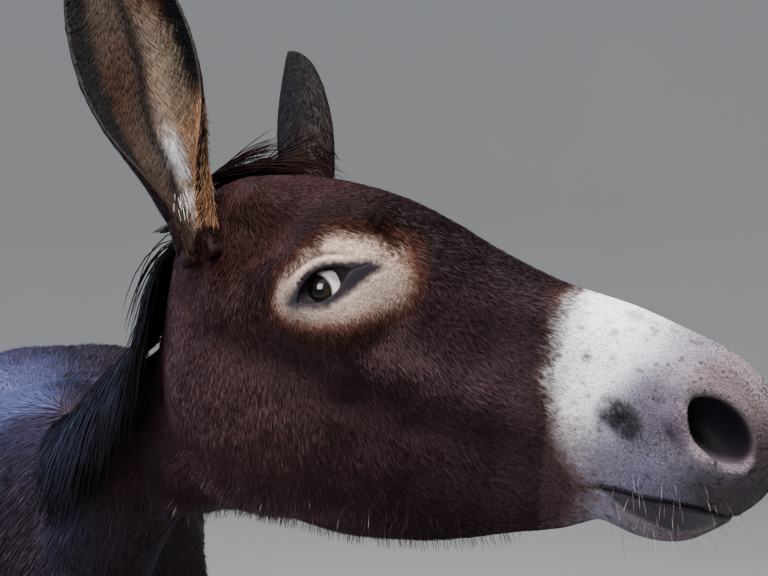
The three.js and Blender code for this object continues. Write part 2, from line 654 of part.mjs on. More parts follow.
function maneSurface() {
  const arcs = spread(MANE_STATIONS, 0.1, 1.1).map((u, i) => {
    const frame = neckFrame(u);
    const t = i / (MANE_STATIONS - 1);
    const ray = (fall, lift) => {
      const turn = fall / neckRise(u);
      const direction = frame.up.clone().multiplyScalar(Math.cos(turn))
        .addScaledVector(frame.left, -Math.sin(turn));
      const wall = r => hideField(frame.middle.clone().addScaledVector(direction, r)) - lift;
      let inside = 0;
      let outside = 420;
      for (let n = 0; n < 18; n += 1) {
        const r = (inside + outside) / 2;
        if (wall(r) < 0) inside = r;
        else outside = r;
      }
      return frame.middle.clone().addScaledVector(direction, inside);
    };
    const falls = spread(MANE_ACROSS, -MANE_ROOTS, maneFall(t));
    const swell = k => 0.3 + 0.7 * Math.sin(Math.PI * (k + 1) / (MANE_ACROSS + 1));
    const outer = falls.map((fall, k) => ray(fall, maneDepth(t) * swell(k)));
    const inner = falls.map(fall => ray(fall, -4)).reverse();
    return [...outer, ...inner];
  });
  const around = 2 * MANE_ACROSS;
  const middle = arc => arc.reduce((sum, p) => sum.add(p), new THREE.Vector3()).divideScalar(around);
  const ends = [middle(arcs[0]), middle(arcs[MANE_STATIONS - 1])];
  return ringSurface([...arcs.flat(), ...ends], MANE_STATIONS, around);
}

function forelockSurface() {
  const run = [[-30, 0, 52], [-16, 0, 78], [12, 0, 111], [50, 0, 127], [96, -2, 129], [136, -4, 127]];
  const path = new THREE.CatmullRomCurve3(run.map(p => inHead(...p)));
  return taperedTube(path, curve([[0, 16], [0.3, 34], [0.6, 30], [1, 6]]), 9, 10, 0.5);
}

// ------------------------------------------------------------------ the donkey
const donkey = new THREE.Group();

function add(name, geometry, material) {
  const mesh = new THREE.Mesh(geometry, material);
  mesh.name = name;
  donkey.add(mesh);
}

const toHead = halfSpace(neckCut.middle.clone().addScaledVector(neckCutNormal, -GAP / 2), neckCutNormal);
const behindCut = neckCut.middle.clone().addScaledVector(neckCutNormal, GAP / 2);
const toTail = halfSpace(behindCut, neckCutNormal.clone().negate());
add('trunk', geometryOf(bodySolid.subtract(toHead)), coat(DARK_COAT));
add('neck', geometryOf(bodySolid.subtract(toTail).subtract(headClearance)), coat(DARK_COAT));
add('head', geometryOf(headSolid), coat(BROWN_COAT));

for (const [name, side] of Object.entries(SIDES)) {
  add(`eye_${name}`, ball(EYE_RADIUS).translate(...eyeCentre(side).toArray()), coat(0x1a120e, 0.12));
  const ear = solidOf(earSurface(name));
  add(`ear_${name}`, geometryOf(ear.subtract(hideClearance)), coat(BLACK_HAIR));
  for (const shape of legs) {
    const { pair, steps, toe, track } = shape;
    const leg = solidOf(legSurface(shape, steps[name], side));
    const centre = toe + steps[name];
    const coronet = new THREE.Vector3(centre, 0, HOOF.topHeight + GAP);
    const below = halfSpace(coronet, new THREE.Vector3(HOOF.topSlope, 0, -1));
    add(`${pair}_${name}`, geometryOf(leg.subtract(bodyClearance).subtract(below)), coat(DARK_COAT));
    add(`hoof_${pair.slice(0, 4)}_${name}`, hoofSurface(centre, track * side), coat(0x2b2622, 0.5));
  }
}

const tail = solidOf(taperedTube(tailPath, dockRadius, 11, 9)).subtract(bodyClearance);
const tassel = taperedTube(tasselPath, tasselRadius, 9, 9);
const tasselTop = halfSpace(new THREE.Vector3(0, 0, TASSEL_TOP), new THREE.Vector3(0, 0, -1));
const dockEnd = halfSpace(new THREE.Vector3(0, 0, TASSEL_TOP - GAP), new THREE.Vector3(0, 0, 1));
add('tail', geometryOf(tail.subtract(tasselTop)), coat(DARK_COAT));
add('tail_tassel', geometryOf(solidOf(tassel).subtract(dockEnd)), coat(BLACK_HAIR));
const nape = halfSpace(inHead(-GAP / 2, 0, 0), headDirection(1, 0, 0));
const brow = halfSpace(inHead(GAP / 2, 0, 0), headDirection(-1, 0, 0));
add('mane', geometryOf(solidOf(maneSurface()).subtract(hideClearance).subtract(nape)), coat(BLACK_HAIR));
const forelock = solidOf(forelockSurface()).subtract(hideClearance).subtract(brow);
add('forelock', geometryOf(forelock), coat(BLACK_HAIR));

// The origin is on the floor, under the middle of the donkey's box.
const box = new THREE.Box3().setFromObject(donkey);
donkey.position.set(-(box.min.x + box.max.x) / 2, -(box.min.y + box.max.y) / 2, 0);

export default donkey;
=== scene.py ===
"""A life-size donkey, built as a Blender add-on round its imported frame.

Lengths inside the shape functions are millimetres in the donkey's own frame: +X forward, +Y its left,
+Z up, with the hooves on z = 0. placed() turns them into the metres of the scene.
"""
import bpy
import numpy as np
from bpy.props import FloatProperty, FloatVectorProperty, IntProperty, PointerProperty
from mathutils import Matrix, Vector


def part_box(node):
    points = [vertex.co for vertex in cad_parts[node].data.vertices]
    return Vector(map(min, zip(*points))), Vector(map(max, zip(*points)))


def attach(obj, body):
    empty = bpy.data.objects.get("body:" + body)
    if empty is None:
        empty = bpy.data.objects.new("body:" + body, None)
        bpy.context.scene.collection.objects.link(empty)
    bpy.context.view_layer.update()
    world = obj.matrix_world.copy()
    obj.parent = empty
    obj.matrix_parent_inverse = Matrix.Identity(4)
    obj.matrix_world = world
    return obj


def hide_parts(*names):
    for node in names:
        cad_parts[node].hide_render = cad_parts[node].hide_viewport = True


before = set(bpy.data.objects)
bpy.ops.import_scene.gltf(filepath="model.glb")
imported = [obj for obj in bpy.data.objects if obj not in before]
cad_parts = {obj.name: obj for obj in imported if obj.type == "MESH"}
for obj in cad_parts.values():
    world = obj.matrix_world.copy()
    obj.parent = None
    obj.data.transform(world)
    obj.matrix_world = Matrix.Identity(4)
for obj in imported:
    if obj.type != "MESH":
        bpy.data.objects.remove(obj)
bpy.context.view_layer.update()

bl_info = {
    "name": "Life-size donkey",
    "version": (1, 0, 0),
    "blender": (4, 5, 0),
    "location": "3D View > Sidebar > Donkey",
    "description": "Builds a dark brown donkey with a pale muzzle: skin, coat, mane, tail, eyes and hooves",
    "category": "Add Mesh",
}

MM = 0.001


# ---------------- small helpers
def linear(code):
    """An sRGB hex colour as linear red, green and blue."""
    values = [int(code[i:i + 2], 16) / 255 for i in (0, 2, 4)]
    return tuple(v / 12.92 if v <= 0.04045 else ((v + 0.055) / 1.055) ** 2.4 for v in values)


def unit(v):
    """v at length 1, along the last axis."""
    v = np.asarray(v, float)
    return v / np.maximum(np.linalg.norm(v, axis=-1, keepdims=True), 1e-9)


def dot(a, b):
    """The sum of products along the last axis."""
    return (a * b).sum(-1)


def ramp(x, low, high):
    """0 below low, 1 above high, and a smooth cubic between."""
    t = np.clip((x - low) / (high - low), 0.0, 1.0)
    return t * t * (3 - 2 * t)


def mix(a, b, share):
    """a where share is 0 and b where it is 1, row by row."""
    return a + (np.asarray(b) - a) * np.asarray(share)[..., None]


def curve(*stations):
    """A smooth curve through (place, value) pairs: cubic pieces, whose slopes are taken across
    neighbours."""
    x, v = np.array(stations, float).T
    slope = np.empty(len(x))
    slope[1:-1] = (v[2:] - v[:-2]) / (x[2:] - x[:-2])
    slope[0] = (v[1] - v[0]) / (x[1] - x[0])
    slope[-1] = (v[-1] - v[-2]) / (x[-1] - x[-2])
    place = np.linspace(x[0], x[-1], 600)
    i = np.clip(np.searchsorted(x, place, side="right") - 1, 0, len(x) - 2)
    h = x[i + 1] - x[i]
    u = (place - x[i]) / h
    value = ((2 * u**3 - 3 * u**2 + 1) * v[i] + (u**3 - 2 * u**2 + u) * h * slope[i]
             + (3 * u**2 - 2 * u**3) * v[i + 1] + (u**3 - u**2) * h * slope[i + 1])
    return lambda p: np.interp(p, place, value)


def scramble(i, j, k, seed):
    """A number from 0 to 1 for each whole-number place, by multiplying and mixing its bits."""
    n = (i * 73856093) ^ (j * 19349663) ^ (k * 83492791) ^ (seed * 2654435761)
    n = (n ^ (n >> 13)) * 1274126177 & 0xFFFFFFFF
    n = (n ^ (n >> 16)) * 2246822519 & 0xFFFFFFFF
    return (n ^ (n >> 15)) % 65536 / 65535.0


def noise(p, size, seed=0):
    """Smooth noise from -1 to 1: random values on a lattice size mm apart, blended by smoothed
    distances."""
    q = p / size
    cell = np.floor(q).astype(np.int64)
    t = q - cell
    t = t * t * (3 - 2 * t)
    total = 0.0
    for corner in np.ndindex(2, 2, 2):
        weight = np.prod(np.where(corner, t, 1 - t), axis=-1)
        total = total + weight * scramble(*(cell + corner).T, seed)
    return 2 * total - 1


# ---------------- blends and simple forms
def smooth_min(a, b, k):
    """The lesser of a and b, rounded where they are within k of each other."""
    h = np.maximum(k - np.abs(a - b), 0.0) / k
    return np.minimum(a, b) - h * h * k * 0.25


def smooth_max(a, b, k):
    """The greater of a and b, rounded in the same way."""
    return -smooth_min(-a, -b, k)


def ball(p, centre, radii, axes=None):
    """Nearly the distance to an ellipsoid: scaled length k0, times k0 - 1, over the length scaled
    twice."""
    q = p - np.array(centre, float)
    if axes is not None:
        q = q @ axes
    r = np.array(radii, float)
    k0 = np.linalg.norm(q / r, axis=-1)
    k1 = np.linalg.norm(q / (r * r), axis=-1)
    return k0 * (k0 - 1) / np.maximum(k1, 1e-9)


def bar(p, start, end, start_radius, end_radius, flat=1.0):
    """Distance to a bar whose radius changes evenly; flat below 1 makes it thinner from side to side."""
    scale = np.array([1, 1 / flat, 1])
    p = p * scale
    a = np.array(start, float) * scale
    d = np.array(end, float) * scale - a
    h = np.clip(((p - a) @ d) / (d @ d), 0, 1)
    radius = start_radius + (end_radius - start_radius) * h
    return np.linalg.norm(p - a - h[..., None] * d, axis=-1) - radius


def section(across, height, half, up, down, power_up=2.0, power_down=2.0):
    """Radial distance to a superellipse that is half wide, up above its middle and down below it."""
    reach = np.where(height > 0, up, down)
    n = np.where(height > 0, power_up, power_down)
    rho = (np.abs(across / half) ** n + np.abs(height / reach) ** n) ** (1 / n)
    return (np.hypot(across, height) + 1e-9) * (1 - 1 / np.maximum(rho, 1e-6))


FORMS = {"ball": ball, "bar": bar}


def with_forms(field, p, forms):
    """Adds each (form, blend, sizes...) to the field in turn; a negative blend hollows it out instead."""
    for name, blend, *sizes in forms:
        form = FORMS[name](p, *sizes)
        if blend < 0:
            field = smooth_max(field, -form, -blend)
        elif field is None:
            field = form
        else:
            field = smooth_min(field, form, blend)
    return field


# ---------------- head: x to the nose, y left, z up
head_top = curve((-25, 50), (10, 98), (54, 119), (100, 126), (145, 127), (198, 120), (242, 107), (284, 91),
                 (331, 77), (395, 64), (428, 54), (456, 40), (474, 22), (488, -8))
face_half = curve((-25, 40), (18, 66), (64, 84), (118, 92), (164, 93), (191, 89), (236, 74), (291, 62),
                  (346, 54), (391, 50), (428, 52), (460, 47), (488, 30))
jaw_bottom = curve((0, -92), (35, -132), (72, -154), (118, -165), (164, -166), (200, -163), (246, -153),
                   (286, -140), (323, -124), (364, -105), (392, -87), (425, -77), (458, -62), (488, -34))
jaw_half = curve((0, 58), (45, 72), (100, 79), (164, 77), (218, 67), (282, 55), (337, 47), (382, 42),
                 (418, 41), (455, 34), (488, 20))
HEAD_LENGTH = 488
HEAD_MIDDLE = np.array([220.0, 0.0, -20.0])
HEAD_REACH = 420                     # from its middle to past its lips and poll

HEAD_FORMS = (
    ("bar", 40, (100, 0, -145), (30, 0, -170), 24, 24),        # throat
    ("ball", 26, (124, 54, -60), (84, 38, 88)),                # cheek muscle
    ("ball", 30, (186, 70, 46), (48, 29, 38)),                 # eye socket
    ("bar", 40, (152, 70, 76), (206, 66, 84), 14, 14),         # brow
    ("bar", 44, (213, 72, 8), (114, 82, 20), 13, 10),          # cheek bone
    ("bar", 36, (220, 66, -2), (306, 52, -14), 12, 7),         # its crest
    ("ball", -34, (128, 96, 86), (28, 18, 18)),                # hollow above the eye
    ("ball", -40, (336, 88, 26), (82, 30, 26)),   # side of the nose
    ("ball", 30, (438, 32, 4), (42, 30, 34)),                  # nostril wing
    ("ball", 34, (448, 0, -18), (40, 46, 42)),   # upper lip
    ("ball", 16, (425, 0, -58), (41, 35, 22)),                 # lower lip
    ("ball", 14, (422, 0, -70), (32, 32, 18)),                 # chin
)


def head_field(h):
    """The head's coat: face and jaw sections blended, closed at both ends, with its muscles and bones."""
    x, y, z = h.T
    y = np.abs(y)
    s = np.stack([x, y, z], -1)
    middle = np.interp(x, [0, 190, 380, 488], [25, 34, 10, -12])
    f = section(y, z - middle, face_half(x), head_top(x) - middle,
                np.interp(x, [0, 200, 488], [75, 74, 38]), 2.2, 2.2)
    jaw = np.interp(x, [0, 120, 290, 428, 488], [-20, -45, -40, -28, -26])
    f = smooth_min(f, section(y, z - jaw, jaw_half(x), np.interp(x, [0, 200, 488], [90, 84, 40]),
                              jaw - jaw_bottom(x), 2.2, 2.1), 30)
    f = smooth_max(f, x - (HEAD_LENGTH - 4), 56)
    f = smooth_max(f, -14 - x, 80)
    return with_forms(f, s, HEAD_FORMS)


# The left eye: its middle in the head, and its axes along the lids, up across them and out of the socket.
EYE = np.array([190.0, 74.0, 46.0])
EYE_RADIUS = 21.0
eye_out = unit((0.40, 0.90, 0.16))
eye_along = np.array([0.82, -0.30, 0.50])
eye_along = unit(eye_along - dot(eye_along, eye_out) * eye_out)
EYE_AXES = np.stack([eye_along, np.cross(eye_along, eye_out), eye_out], 1)
GAZE = unit((0.035, 0.996, -0.080))
IRIS = 12.5
LID_DEPTH = 4.5                      # from the eyeball to the outside of the lids
upper_lid = curve((-22, -1.5), (-19.5, 2.0), (-16, 5.5), (-10.5, 9.1), (-4, 11.8), (4, 12.8), (10.5, 11.5),
                  (16.5, 8.4), (20, 5.6), (22.5, 3.6))
lower_lid = curve((-22, -1.5), (-19.5, -3.8), (-16, -6.0), (-10.5, -7.9), (-4, -8.8), (4, -6.8), (10.5, -3.6),
                  (16.5, 1.2), (20, 3.2), (22.5, 3.9))
# the bare dark rim round the lids: places along it, and its edge above and below them
RIM_ALONG = (-31, -22, -13, -3, 7, 20, 33, 43, 46)
RIM_ABOVE = (-2, 7.4, 14.6, 18.6, 18.2, 13.4, 8.7, 3.4, -2)
RIM_BELOW = (-3, -8.6, -13.4, -16.2, -14.6, -10.4, -6.6, -5, -2)

NOSTRIL = np.array([454.5, 51.0, 5.0])
NOSTRIL_SIZE = (22.5, 15.0, 26.0)    # half length, half height and depth
NOSTRIL_RIM = (                      # bars: from, to, and the radius at each end
    ((434, 58, 26), (436, 61, 10), 4, 6),
    ((436, 61, 10), (453, 60, -9), 6, 6),
    ((453, 60, -9), (470, 51, -14), 6, 4),
)
nostril_in = unit((0.46, 0.86, 0.20))
nostril_along = unit((0.69, -0.205, -0.686))
NOSTRIL_AXES = np.stack([nostril_along, unit(np.cross(nostril_in, nostril_along)), nostril_in], 1)


def mirrored(h):
    """The head's points brought to its left side."""
    return h * np.where(h[:, 1:2] < 0, [1, -1, 1], [1, 1, 1])


def within_head(h, reach=HEAD_REACH):
    """Which points of the head's frame lie within reach mm of the head's middle."""
    return np.linalg.norm(h - HEAD_MIDDLE, axis=-1) < reach


def in_eye(h):
    """The head's points on the axes of the eye on their side: along the lids, up across them and out."""
    return (mirrored(h) - EYE) @ EYE_AXES


def lip_line(x):
    """Height of the parting of the lips along the head."""
    return np.interp(x, [385, 395, 409, 419, 436, 449, 460, 466, 474, 484],
                     [-53, -53, -51, -51, -47.5, -46.5, -47, -52, -58, -62])


def fine_head(h, f):
    """Cuts the nostrils, the mouth and the lids into the head's skin field f."""
    s = mirrored(h)
    x, _, z = s.T
    for start, end, start_radius, end_radius in NOSTRIL_RIM:
        f = smooth_min(f, bar(s, start, end, start_radius, end_radius), 9)
    f = smooth_max(f, -ball(s, NOSTRIL, NOSTRIL_SIZE, NOSTRIL_AXES), 8)
    parting = np.maximum(np.maximum(np.abs(z - lip_line(x)) - 1.3, 392 - x), -f - 14)
    f = smooth_max(f, -parting, 5)
    u, v, w = in_eye(h).T
    r = np.sqrt(u * u + v * v + w * w)
    f = smooth_min(f, np.maximum(r - (EYE_RADIUS + LID_DEPTH), -w), 10)
    almond = np.maximum(v - upper_lid(u), lower_lid(u) - v)
    f = smooth_max(f, -np.maximum(np.maximum(almond, EYE_RADIUS - 2.5 - r), -w), 1.6)
    fold = np.exp(-((v - 21 + 9 * (u / 26) ** 2) / 2.6) ** 2) * np.exp(-(u / 24) ** 4)
    return f + 2.2 * fold * np.exp(-(np.maximum(r - 42, 0) / 8) ** 2) * (w > 0)


# ---------------- trunk and legs
back = curve((-660, 930), (-620, 1030), (-560, 1106), (-480, 1162), (-400, 1184), (-300, 1180), (-150, 1158),
             (0, 1146), (150, 1152), (260, 1174), (350, 1190), (440, 1176), (520, 1112), (600, 1000))
belly = curve((-660, 860), (-600, 760), (-520, 734), (-420, 736), (-320, 708), (-200, 660), (-80, 634),
              (60, 624), (200, 628), (320, 644), (420, 672), (500, 712), (560, 774), (600, 860))
flank = curve((-660, 40), (-600, 112), (-520, 162), (-420, 194), (-300, 208), (-150, 228), (0, 236),
              (120, 228), (240, 205), (360, 176), (460, 152), (540, 122), (600, 66))
T = 122                                         # half the distance between a pair of legs
FORE_STEP = (25, -25)                           # each leg fore or aft of its pair: left, right
HIND_STEP = (-30, 35)

SHOULDER = (
    ("bar", 60, (330, 96, 1080), (464, 108, 850), 72, 84, 0.8),
    ("bar", 70, (460, 112, 830), (398, 126, 720), 84, 76, 0.8),
)
FORELEG = (
    ("bar", 1, (392, T + 6, 700), (400, T, 430), 66, 36, 0.82),                 # forearm
    ("bar", 30, (388, T + 14, 660), (398, T + 6, 540), 48, 30, 0.9),
    ("ball", 24, (402, T, 396), (36, 33, 46)),                                  # knee
    ("bar", 16, (398, T, 370), (400, T, 190), 25, 22, 0.86),                    # cannon bone
    ("bar", 12, (386, T, 360), (388, T, 200), 13, 13),                          # its tendon
    ("ball", 16, (400, T, 172), (31, 27, 30)),                                  # fetlock
    ("ball", 12, (384, T, 166), (18, 18, 20)),
    ("bar", 14, (406, T, 160), (436, T, 60), 24, 31, 0.95),                     # pastern
)
HINDLEG = (
    ("bar", 1, (-400, T, 930), (-330, T + 28, 770), 150, 100, 0.62),            # thigh
    ("bar", 60, (-500, T - 10, 940), (-480, T + 16, 740), 118, 90, 0.62),
    ("bar", 60, (-400, T + 20, 740), (-535, T + 8, 540), 92, 40, 0.7),          # gaskin
    ("bar", 50, (-520, T + 8, 700), (-592, T + 4, 530), 42, 17, 0.7),           # its tendon
    ("ball", 26, (-566, T + 4, 474), (42, 32, 54)),                             # hock
    ("bar", 22, (-592, T + 4, 520), (-580, T + 4, 440), 18, 16),
    ("bar", 24, (-562, T + 4, 450), (-548, T + 4, 205), 26, 22, 0.9),           # cannon bone
    ("bar", 14, (-576, T + 4, 430), (-562, T + 4, 210), 12, 12),
    ("ball", 16, (-546, T + 4, 180), (32, 28, 31)),                             # fetlock
    ("ball", 12, (-562, T + 4, 172), (18, 18, 20)),
    ("bar", 14, (-540, T + 4, 165), (-508, T + 4, 60), 25, 31, 0.95),           # pastern
)
CROUP = (("ball", 70, (-400, 110, 1060), (150, 92, 110)),)


# ---------------- neck, on a cubic curve from chest to skull
def turned(yaw, pitch, roll):
    """The head's axes as columns: turned left by yaw, nose down by pitch and left side up by roll
    degrees."""
    turn = (Matrix.Rotation(np.radians(yaw), 3, "Z") @ Matrix.Rotation(np.radians(pitch), 3, "Y")
            @ Matrix.Rotation(np.radians(roll), 3, "X"))
    return np.array(turn)


POLL = np.array([770.0, 120.0, 1308.0])
HEAD_AXES = turned(40, 10, 2.5)


def to_head(p):
    """Points of the donkey's frame in the head's."""
    return (p - POLL) @ HEAD_AXES


def from_head(h):
    """Points of the head's frame in the donkey's."""
    return np.asarray(h, float) @ HEAD_AXES.T + POLL


NECK_ROOT = np.array([300.0, 0.0, 960.0])
NECK_END = from_head((60, 0, -30))
neck_span = np.linalg.norm(NECK_END - NECK_ROOT)
NECK = np.array([
    NECK_ROOT,
    NECK_ROOT + unit((1, 0, 0.28)) * neck_span * 0.34,
    NECK_END - HEAD_AXES @ unit((0.8, 0, 0.6)) * neck_span * 0.3,
    NECK_END,
])
neck_rise = curve((0, 205), (0.2, 173), (0.4, 118), (0.6, 88), (0.8, 87), (1, 88))
neck_depth = curve((0, 235), (0.2, 218), (0.4, 178), (0.6, 146), (0.8, 124), (1, 110))
neck_half = curve((0, 160), (0.2, 130), (0.4, 98), (0.6, 76), (0.8, 66), (1, 62))


def neck_frame(s):
    """Middle, forward, left and up of the neck at s from 0 to 1, and the curve's first two derivatives."""
    s = np.asarray(s, float)[..., None]
    a, b, c, d = NECK
    middle = (1 - s)**3 * a + 3 * (1 - s)**2 * s * b + 3 * (1 - s) * s**2 * c + s**3 * d
    first = 3 * ((1 - s)**2 * (b - a) + 2 * (1 - s) * s * (c - b) + s**2 * (d - c))
    second = 6 * ((1 - s) * (c - 2 * b + a) + s * (d - 2 * c + b))
    forward = unit(first)
    left = np.array([0.0, 1, 0]) + (HEAD_AXES[:, 1] - [0, 1, 0]) * s
    left = unit(left - dot(left, forward)[..., None] * forward)
    return middle, forward, left, np.cross(forward, left), first, second


def in_neck(p):
    """Where each point lies along the neck, by Newton's steps, and how far left, up and forward of
    there."""
    samples = np.linspace(0, 1, 17)
    middles = neck_frame(samples)[0]
    distance = np.stack([dot(p - m, p - m) for m in middles])
    s = samples[distance.argmin(0)]
    for _ in range(3):
        middle, _, _, _, first, second = neck_frame(s)
        gap = p - middle
        speed = dot(first, first)
        s = np.clip(s + dot(gap, first) / np.maximum(speed - dot(gap, second), 0.3 * speed), 0, 1)
    middle, forward, left, up, _, _ = neck_frame(s)
    gap = p - middle
    return s, dot(gap, left), dot(gap, up), dot(gap, forward)


def neck_field(p):
    """The neck's coat: a section that is narrower at the crest than at the throat, carried along the
    curve."""
    s, across, height, along = in_neck(p)
    depth = neck_depth(s)
    half = neck_half(s) * (1 - 0.22 * np.clip(height / depth, -1, 1))
    return smooth_max(section(across, height, half, neck_rise(s), depth, 2, 2.1), np.abs(along) - 10, 60)


FAR = 1000.0


def near_only(field, p, centre, reach):
    """field at the points within reach of centre, and a large distance elsewhere."""
    near = np.linalg.norm(p - np.array(centre, float), axis=-1) < reach
    f = np.full(len(p), FAR)
    f[near] = field(p[near])
    return f


def coat_field(p):
    """The whole coat but the ears: trunk, shoulders, croup, neck, legs and head in one smooth surface."""
    x, y, z = p.T
    half = np.stack([x, np.abs(y), z], -1)
    steps = np.where(y > 0, 0, 1)
    top, bottom = back(x), belly(x)
    middle = (top + bottom) / 2
    f = section(y, z - middle, flank(x), top - middle, middle - bottom, 2.1, 2.2)
    f = smooth_max(smooth_max(f, x - 575, 90), -640 - x, 90)
    f = with_forms(f, half, SHOULDER + CROUP)
    f = smooth_min(f, near_only(neck_field, p, (560, 40, 1120), 620), 70)
    for forms, step, blend in ((FORELEG, FORE_STEP, 40), (HINDLEG, HIND_STEP, 50)):
        leg = with_forms(None, half - np.array(step)[steps][:, None] * [1, 0, 0], forms)
        f = smooth_min(f, leg, blend)
    head = near_only(lambda q: head_field(to_head(q)), p, from_head((230, 0, -10)), 420)
    return smooth_min(f, head, 30)


# ---------------- skin, under the coat by its depth
def coat_depth(p):
    """How deep the coat is: 7 mm on the body, 4 on face and legs, 1.5 on the muzzle and round the eyes."""
    h = to_head(p)
    x = h[:, 0]
    on_head = ramp(x, -40, 60) * ramp(-np.linalg.norm(h - HEAD_MIDDLE, axis=-1), -380, -330)
    depth = 7 - 3 * ramp(-p[:, 2], -560, -420)
    depth = depth + (4 - depth) * on_head
    bare = np.maximum(ramp(x, 330, 390), ramp(-np.linalg.norm(in_eye(h), axis=-1), -60, -36))
    return depth + (1.5 - depth) * bare * on_head


def skin_field(p, fine=True):
    """The skin: the coat's surface moved in by the coat's depth, with nostrils, mouth and lids if fine."""
    f = coat_field(p) + coat_depth(p)
    if not fine:
        return f
    near = np.linalg.norm(p - from_head((310, 0, 0)), axis=-1) < 260
    f[near] = fine_head(to_head(p[near]), f[near])
    return f


def surface_net(field, low, high, cell):
    """A closed surface where the field is 0: one point in each lattice cell that the surface crosses,
    at the mean of its crossings, and a quad round each crossed lattice edge. Cells far from it keep the
    value of a coarse lattice."""
    coarse = 4
    size = (np.ceil((np.array(high) - low) / cell / coarse).astype(int) + 1) * coarse
    low = np.array(low, float)
    grid = np.stack(np.meshgrid(*[np.arange(n) for n in size], indexing="ij"), -1)
    blocks = grid[::coarse, ::coarse, ::coarse] + coarse / 2 - 0.5
    rough = field((low + blocks * cell).reshape(-1, 3)).reshape(blocks.shape[:3])
    value = rough.repeat(coarse, 0).repeat(coarse, 1).repeat(coarse, 2)
    near = np.abs(value) < 2.6 * coarse * cell
    value[near] = field(low + grid[near] * cell)
    cells = size - 1
    total = np.zeros((*cells, 3))
    count = np.zeros(cells)
    quads = []
    for axis in range(3):
        b, c = (axis + 1) % 3, (axis + 2) % 3
        here, there = [slice(None)] * 3, [slice(None)] * 3
        here[axis], there[axis] = slice(0, -1), slice(1, None)
        here, there = value[tuple(here)], value[tuple(there)]
        crossed = (here < 0) != (there < 0)
        start = np.argwhere(crossed)
        point = start.astype(float)
        point[:, axis] += here[crossed] / (here[crossed] - there[crossed])
        corners = []
        for step_b, step_c in ((1, 1), (0, 1), (0, 0), (1, 0)):
            owner = start.copy()
            owner[:, b] -= step_b
            owner[:, c] -= step_c
            np.add.at(total, tuple(owner.T), point)
            np.add.at(count, tuple(owner.T), 1)
            corners.append(np.ravel_multi_index(owner.T, cells))
        quad = np.stack(corners, 1)
        inside = here[crossed] < 0
        quads.append(np.where(inside[:, None], quad, quad[:, ::-1]))
    quads = np.concatenate(quads)
    used, quads = np.unique(quads, return_inverse=True)
    quads = quads.reshape(-1, 4)
    points = low + cell * total.reshape(-1, 3)[used] / count.reshape(-1)[used][:, None]
    return points, np.concatenate([quads[:, [0, 1, 2]], quads[:, [0, 2, 3]]])


def refine(points, faces, chosen):
    """Splits each chosen triangle in four at its edges' middles, and its neighbours so that no gap
    opens."""
    ends = np.stack([faces, np.roll(faces, -1, 1)], -1)
    key = ends.min(-1) * len(points) + ends.max(-1)
    split_keys = np.unique(key[chosen])
    split = np.isin(key, split_keys)
    middles = (points[split_keys // len(points)] + points[split_keys % len(points)]) / 2
    new = len(points) + np.searchsorted(split_keys, key)
    count = split.sum(1)
    # each triangle is turned so that its split edges come first
    turn = np.where(count == 1, split.argmax(1), np.where(count == 2, ((~split).argmax(1) + 1) % 3, 0))
    order = (turn[:, None] + np.arange(3)) % 3
    a, b, c = np.take_along_axis(faces, order, 1).T
    d, e, f = np.take_along_axis(new, order, 1).T

    def pick(n, *corners):
        return np.stack([corner[count == n] for corner in corners], 1)

    return np.concatenate([points, middles]), np.concatenate([
        faces[count == 0],
        pick(1, a, d, c), pick(1, d, b, c),
        pick(2, d, b, e), pick(2, a, d, e), pick(2, a, e, c),
        pick(3, a, d, f), pick(3, d, b, e), pick(3, f, e, c), pick(3, d, e, f),
    ])


def slope(field, p, step=0.4):
    """The field's value and its slope along each axis, by small differences."""
    f = field(p)
    return f, np.stack([field(p + step * axis) - f for axis in np.eye(3)], -1) / step


def settle(points, faces, field, moving, passes=2):
    """Evens the moving points out along the surface, towards their neighbours' mean, and puts them on
    it."""
    ends = np.concatenate([faces[:, [0, 1]], faces[:, [1, 2]], faces[:, [2, 0]]])
    ends = ends[moving[ends[:, 0]]]
    degree = np.maximum(np.bincount(ends[:, 0], minlength=len(points)), 1)[:, None]
    points = points.copy()
    for turn in range(passes + 1):
        total = [np.bincount(ends[:, 0], points[ends[:, 1], axis], len(points)) for axis in range(3)]
        mean = np.stack(total, 1) / degree
        here = points[moving]
        f, g = slope(field, here)
        steep = np.maximum(dot(g, g), 0.05)[:, None]
        pull = mean[moving] - here
        pull -= dot(pull, g)[:, None] * g / steep
        points[moving] = here + (0.5 if turn < passes else 0) * pull - f[:, None] * g / steep
    return points


def longest_edge(p):
    """The longest edge in mm that the skin's triangles may have at each place: finest at lids and
    nostrils."""
    size = np.where(p[:, 2] < 640, 11.5, 26.0)
    h = to_head(p)
    x, _, z = h.T
    size[within_head(h, 325)] = 7.5
    q = in_eye(h)
    u, v, w = q.T
    eye = np.linalg.norm(q, axis=-1) < 46
    size[eye | (x > 412) | (x > 380) & (z < -36)] = 4.2
    lips = (np.abs(z - lip_line(x)) < 7) & (x > 384)
    nostril = np.linalg.norm(mirrored(h) - NOSTRIL, axis=-1) < 33
    size[(np.hypot(u / 33, (v - 3) / 19) < 1) & (w > 0) | lips | nostril] = 2.1
    return size


def dented(points):
    """Points over a nostril's mouth, moved in to its far wall: its depth times the root of 1 - rho
    squared."""
    h = to_head(points)
    side = np.where(h[:, 1:2] < 0, [1.0, -1, 1], [1.0, 1, 1])
    q = (h * side - NOSTRIL) @ NOSTRIL_AXES
    rho = np.hypot(q[:, 0] / NOSTRIL_SIZE[0], q[:, 1] / NOSTRIL_SIZE[1])
    over = (rho < 0.96) & (np.abs(q[:, 2]) < 18)
    q[:, 2] = -NOSTRIL_SIZE[2] * np.sqrt(np.clip(1 - rho ** 2, 0, 1))
    return np.where(over[:, None], from_head((q @ NOSTRIL_AXES.T + NOSTRIL) * side), points)


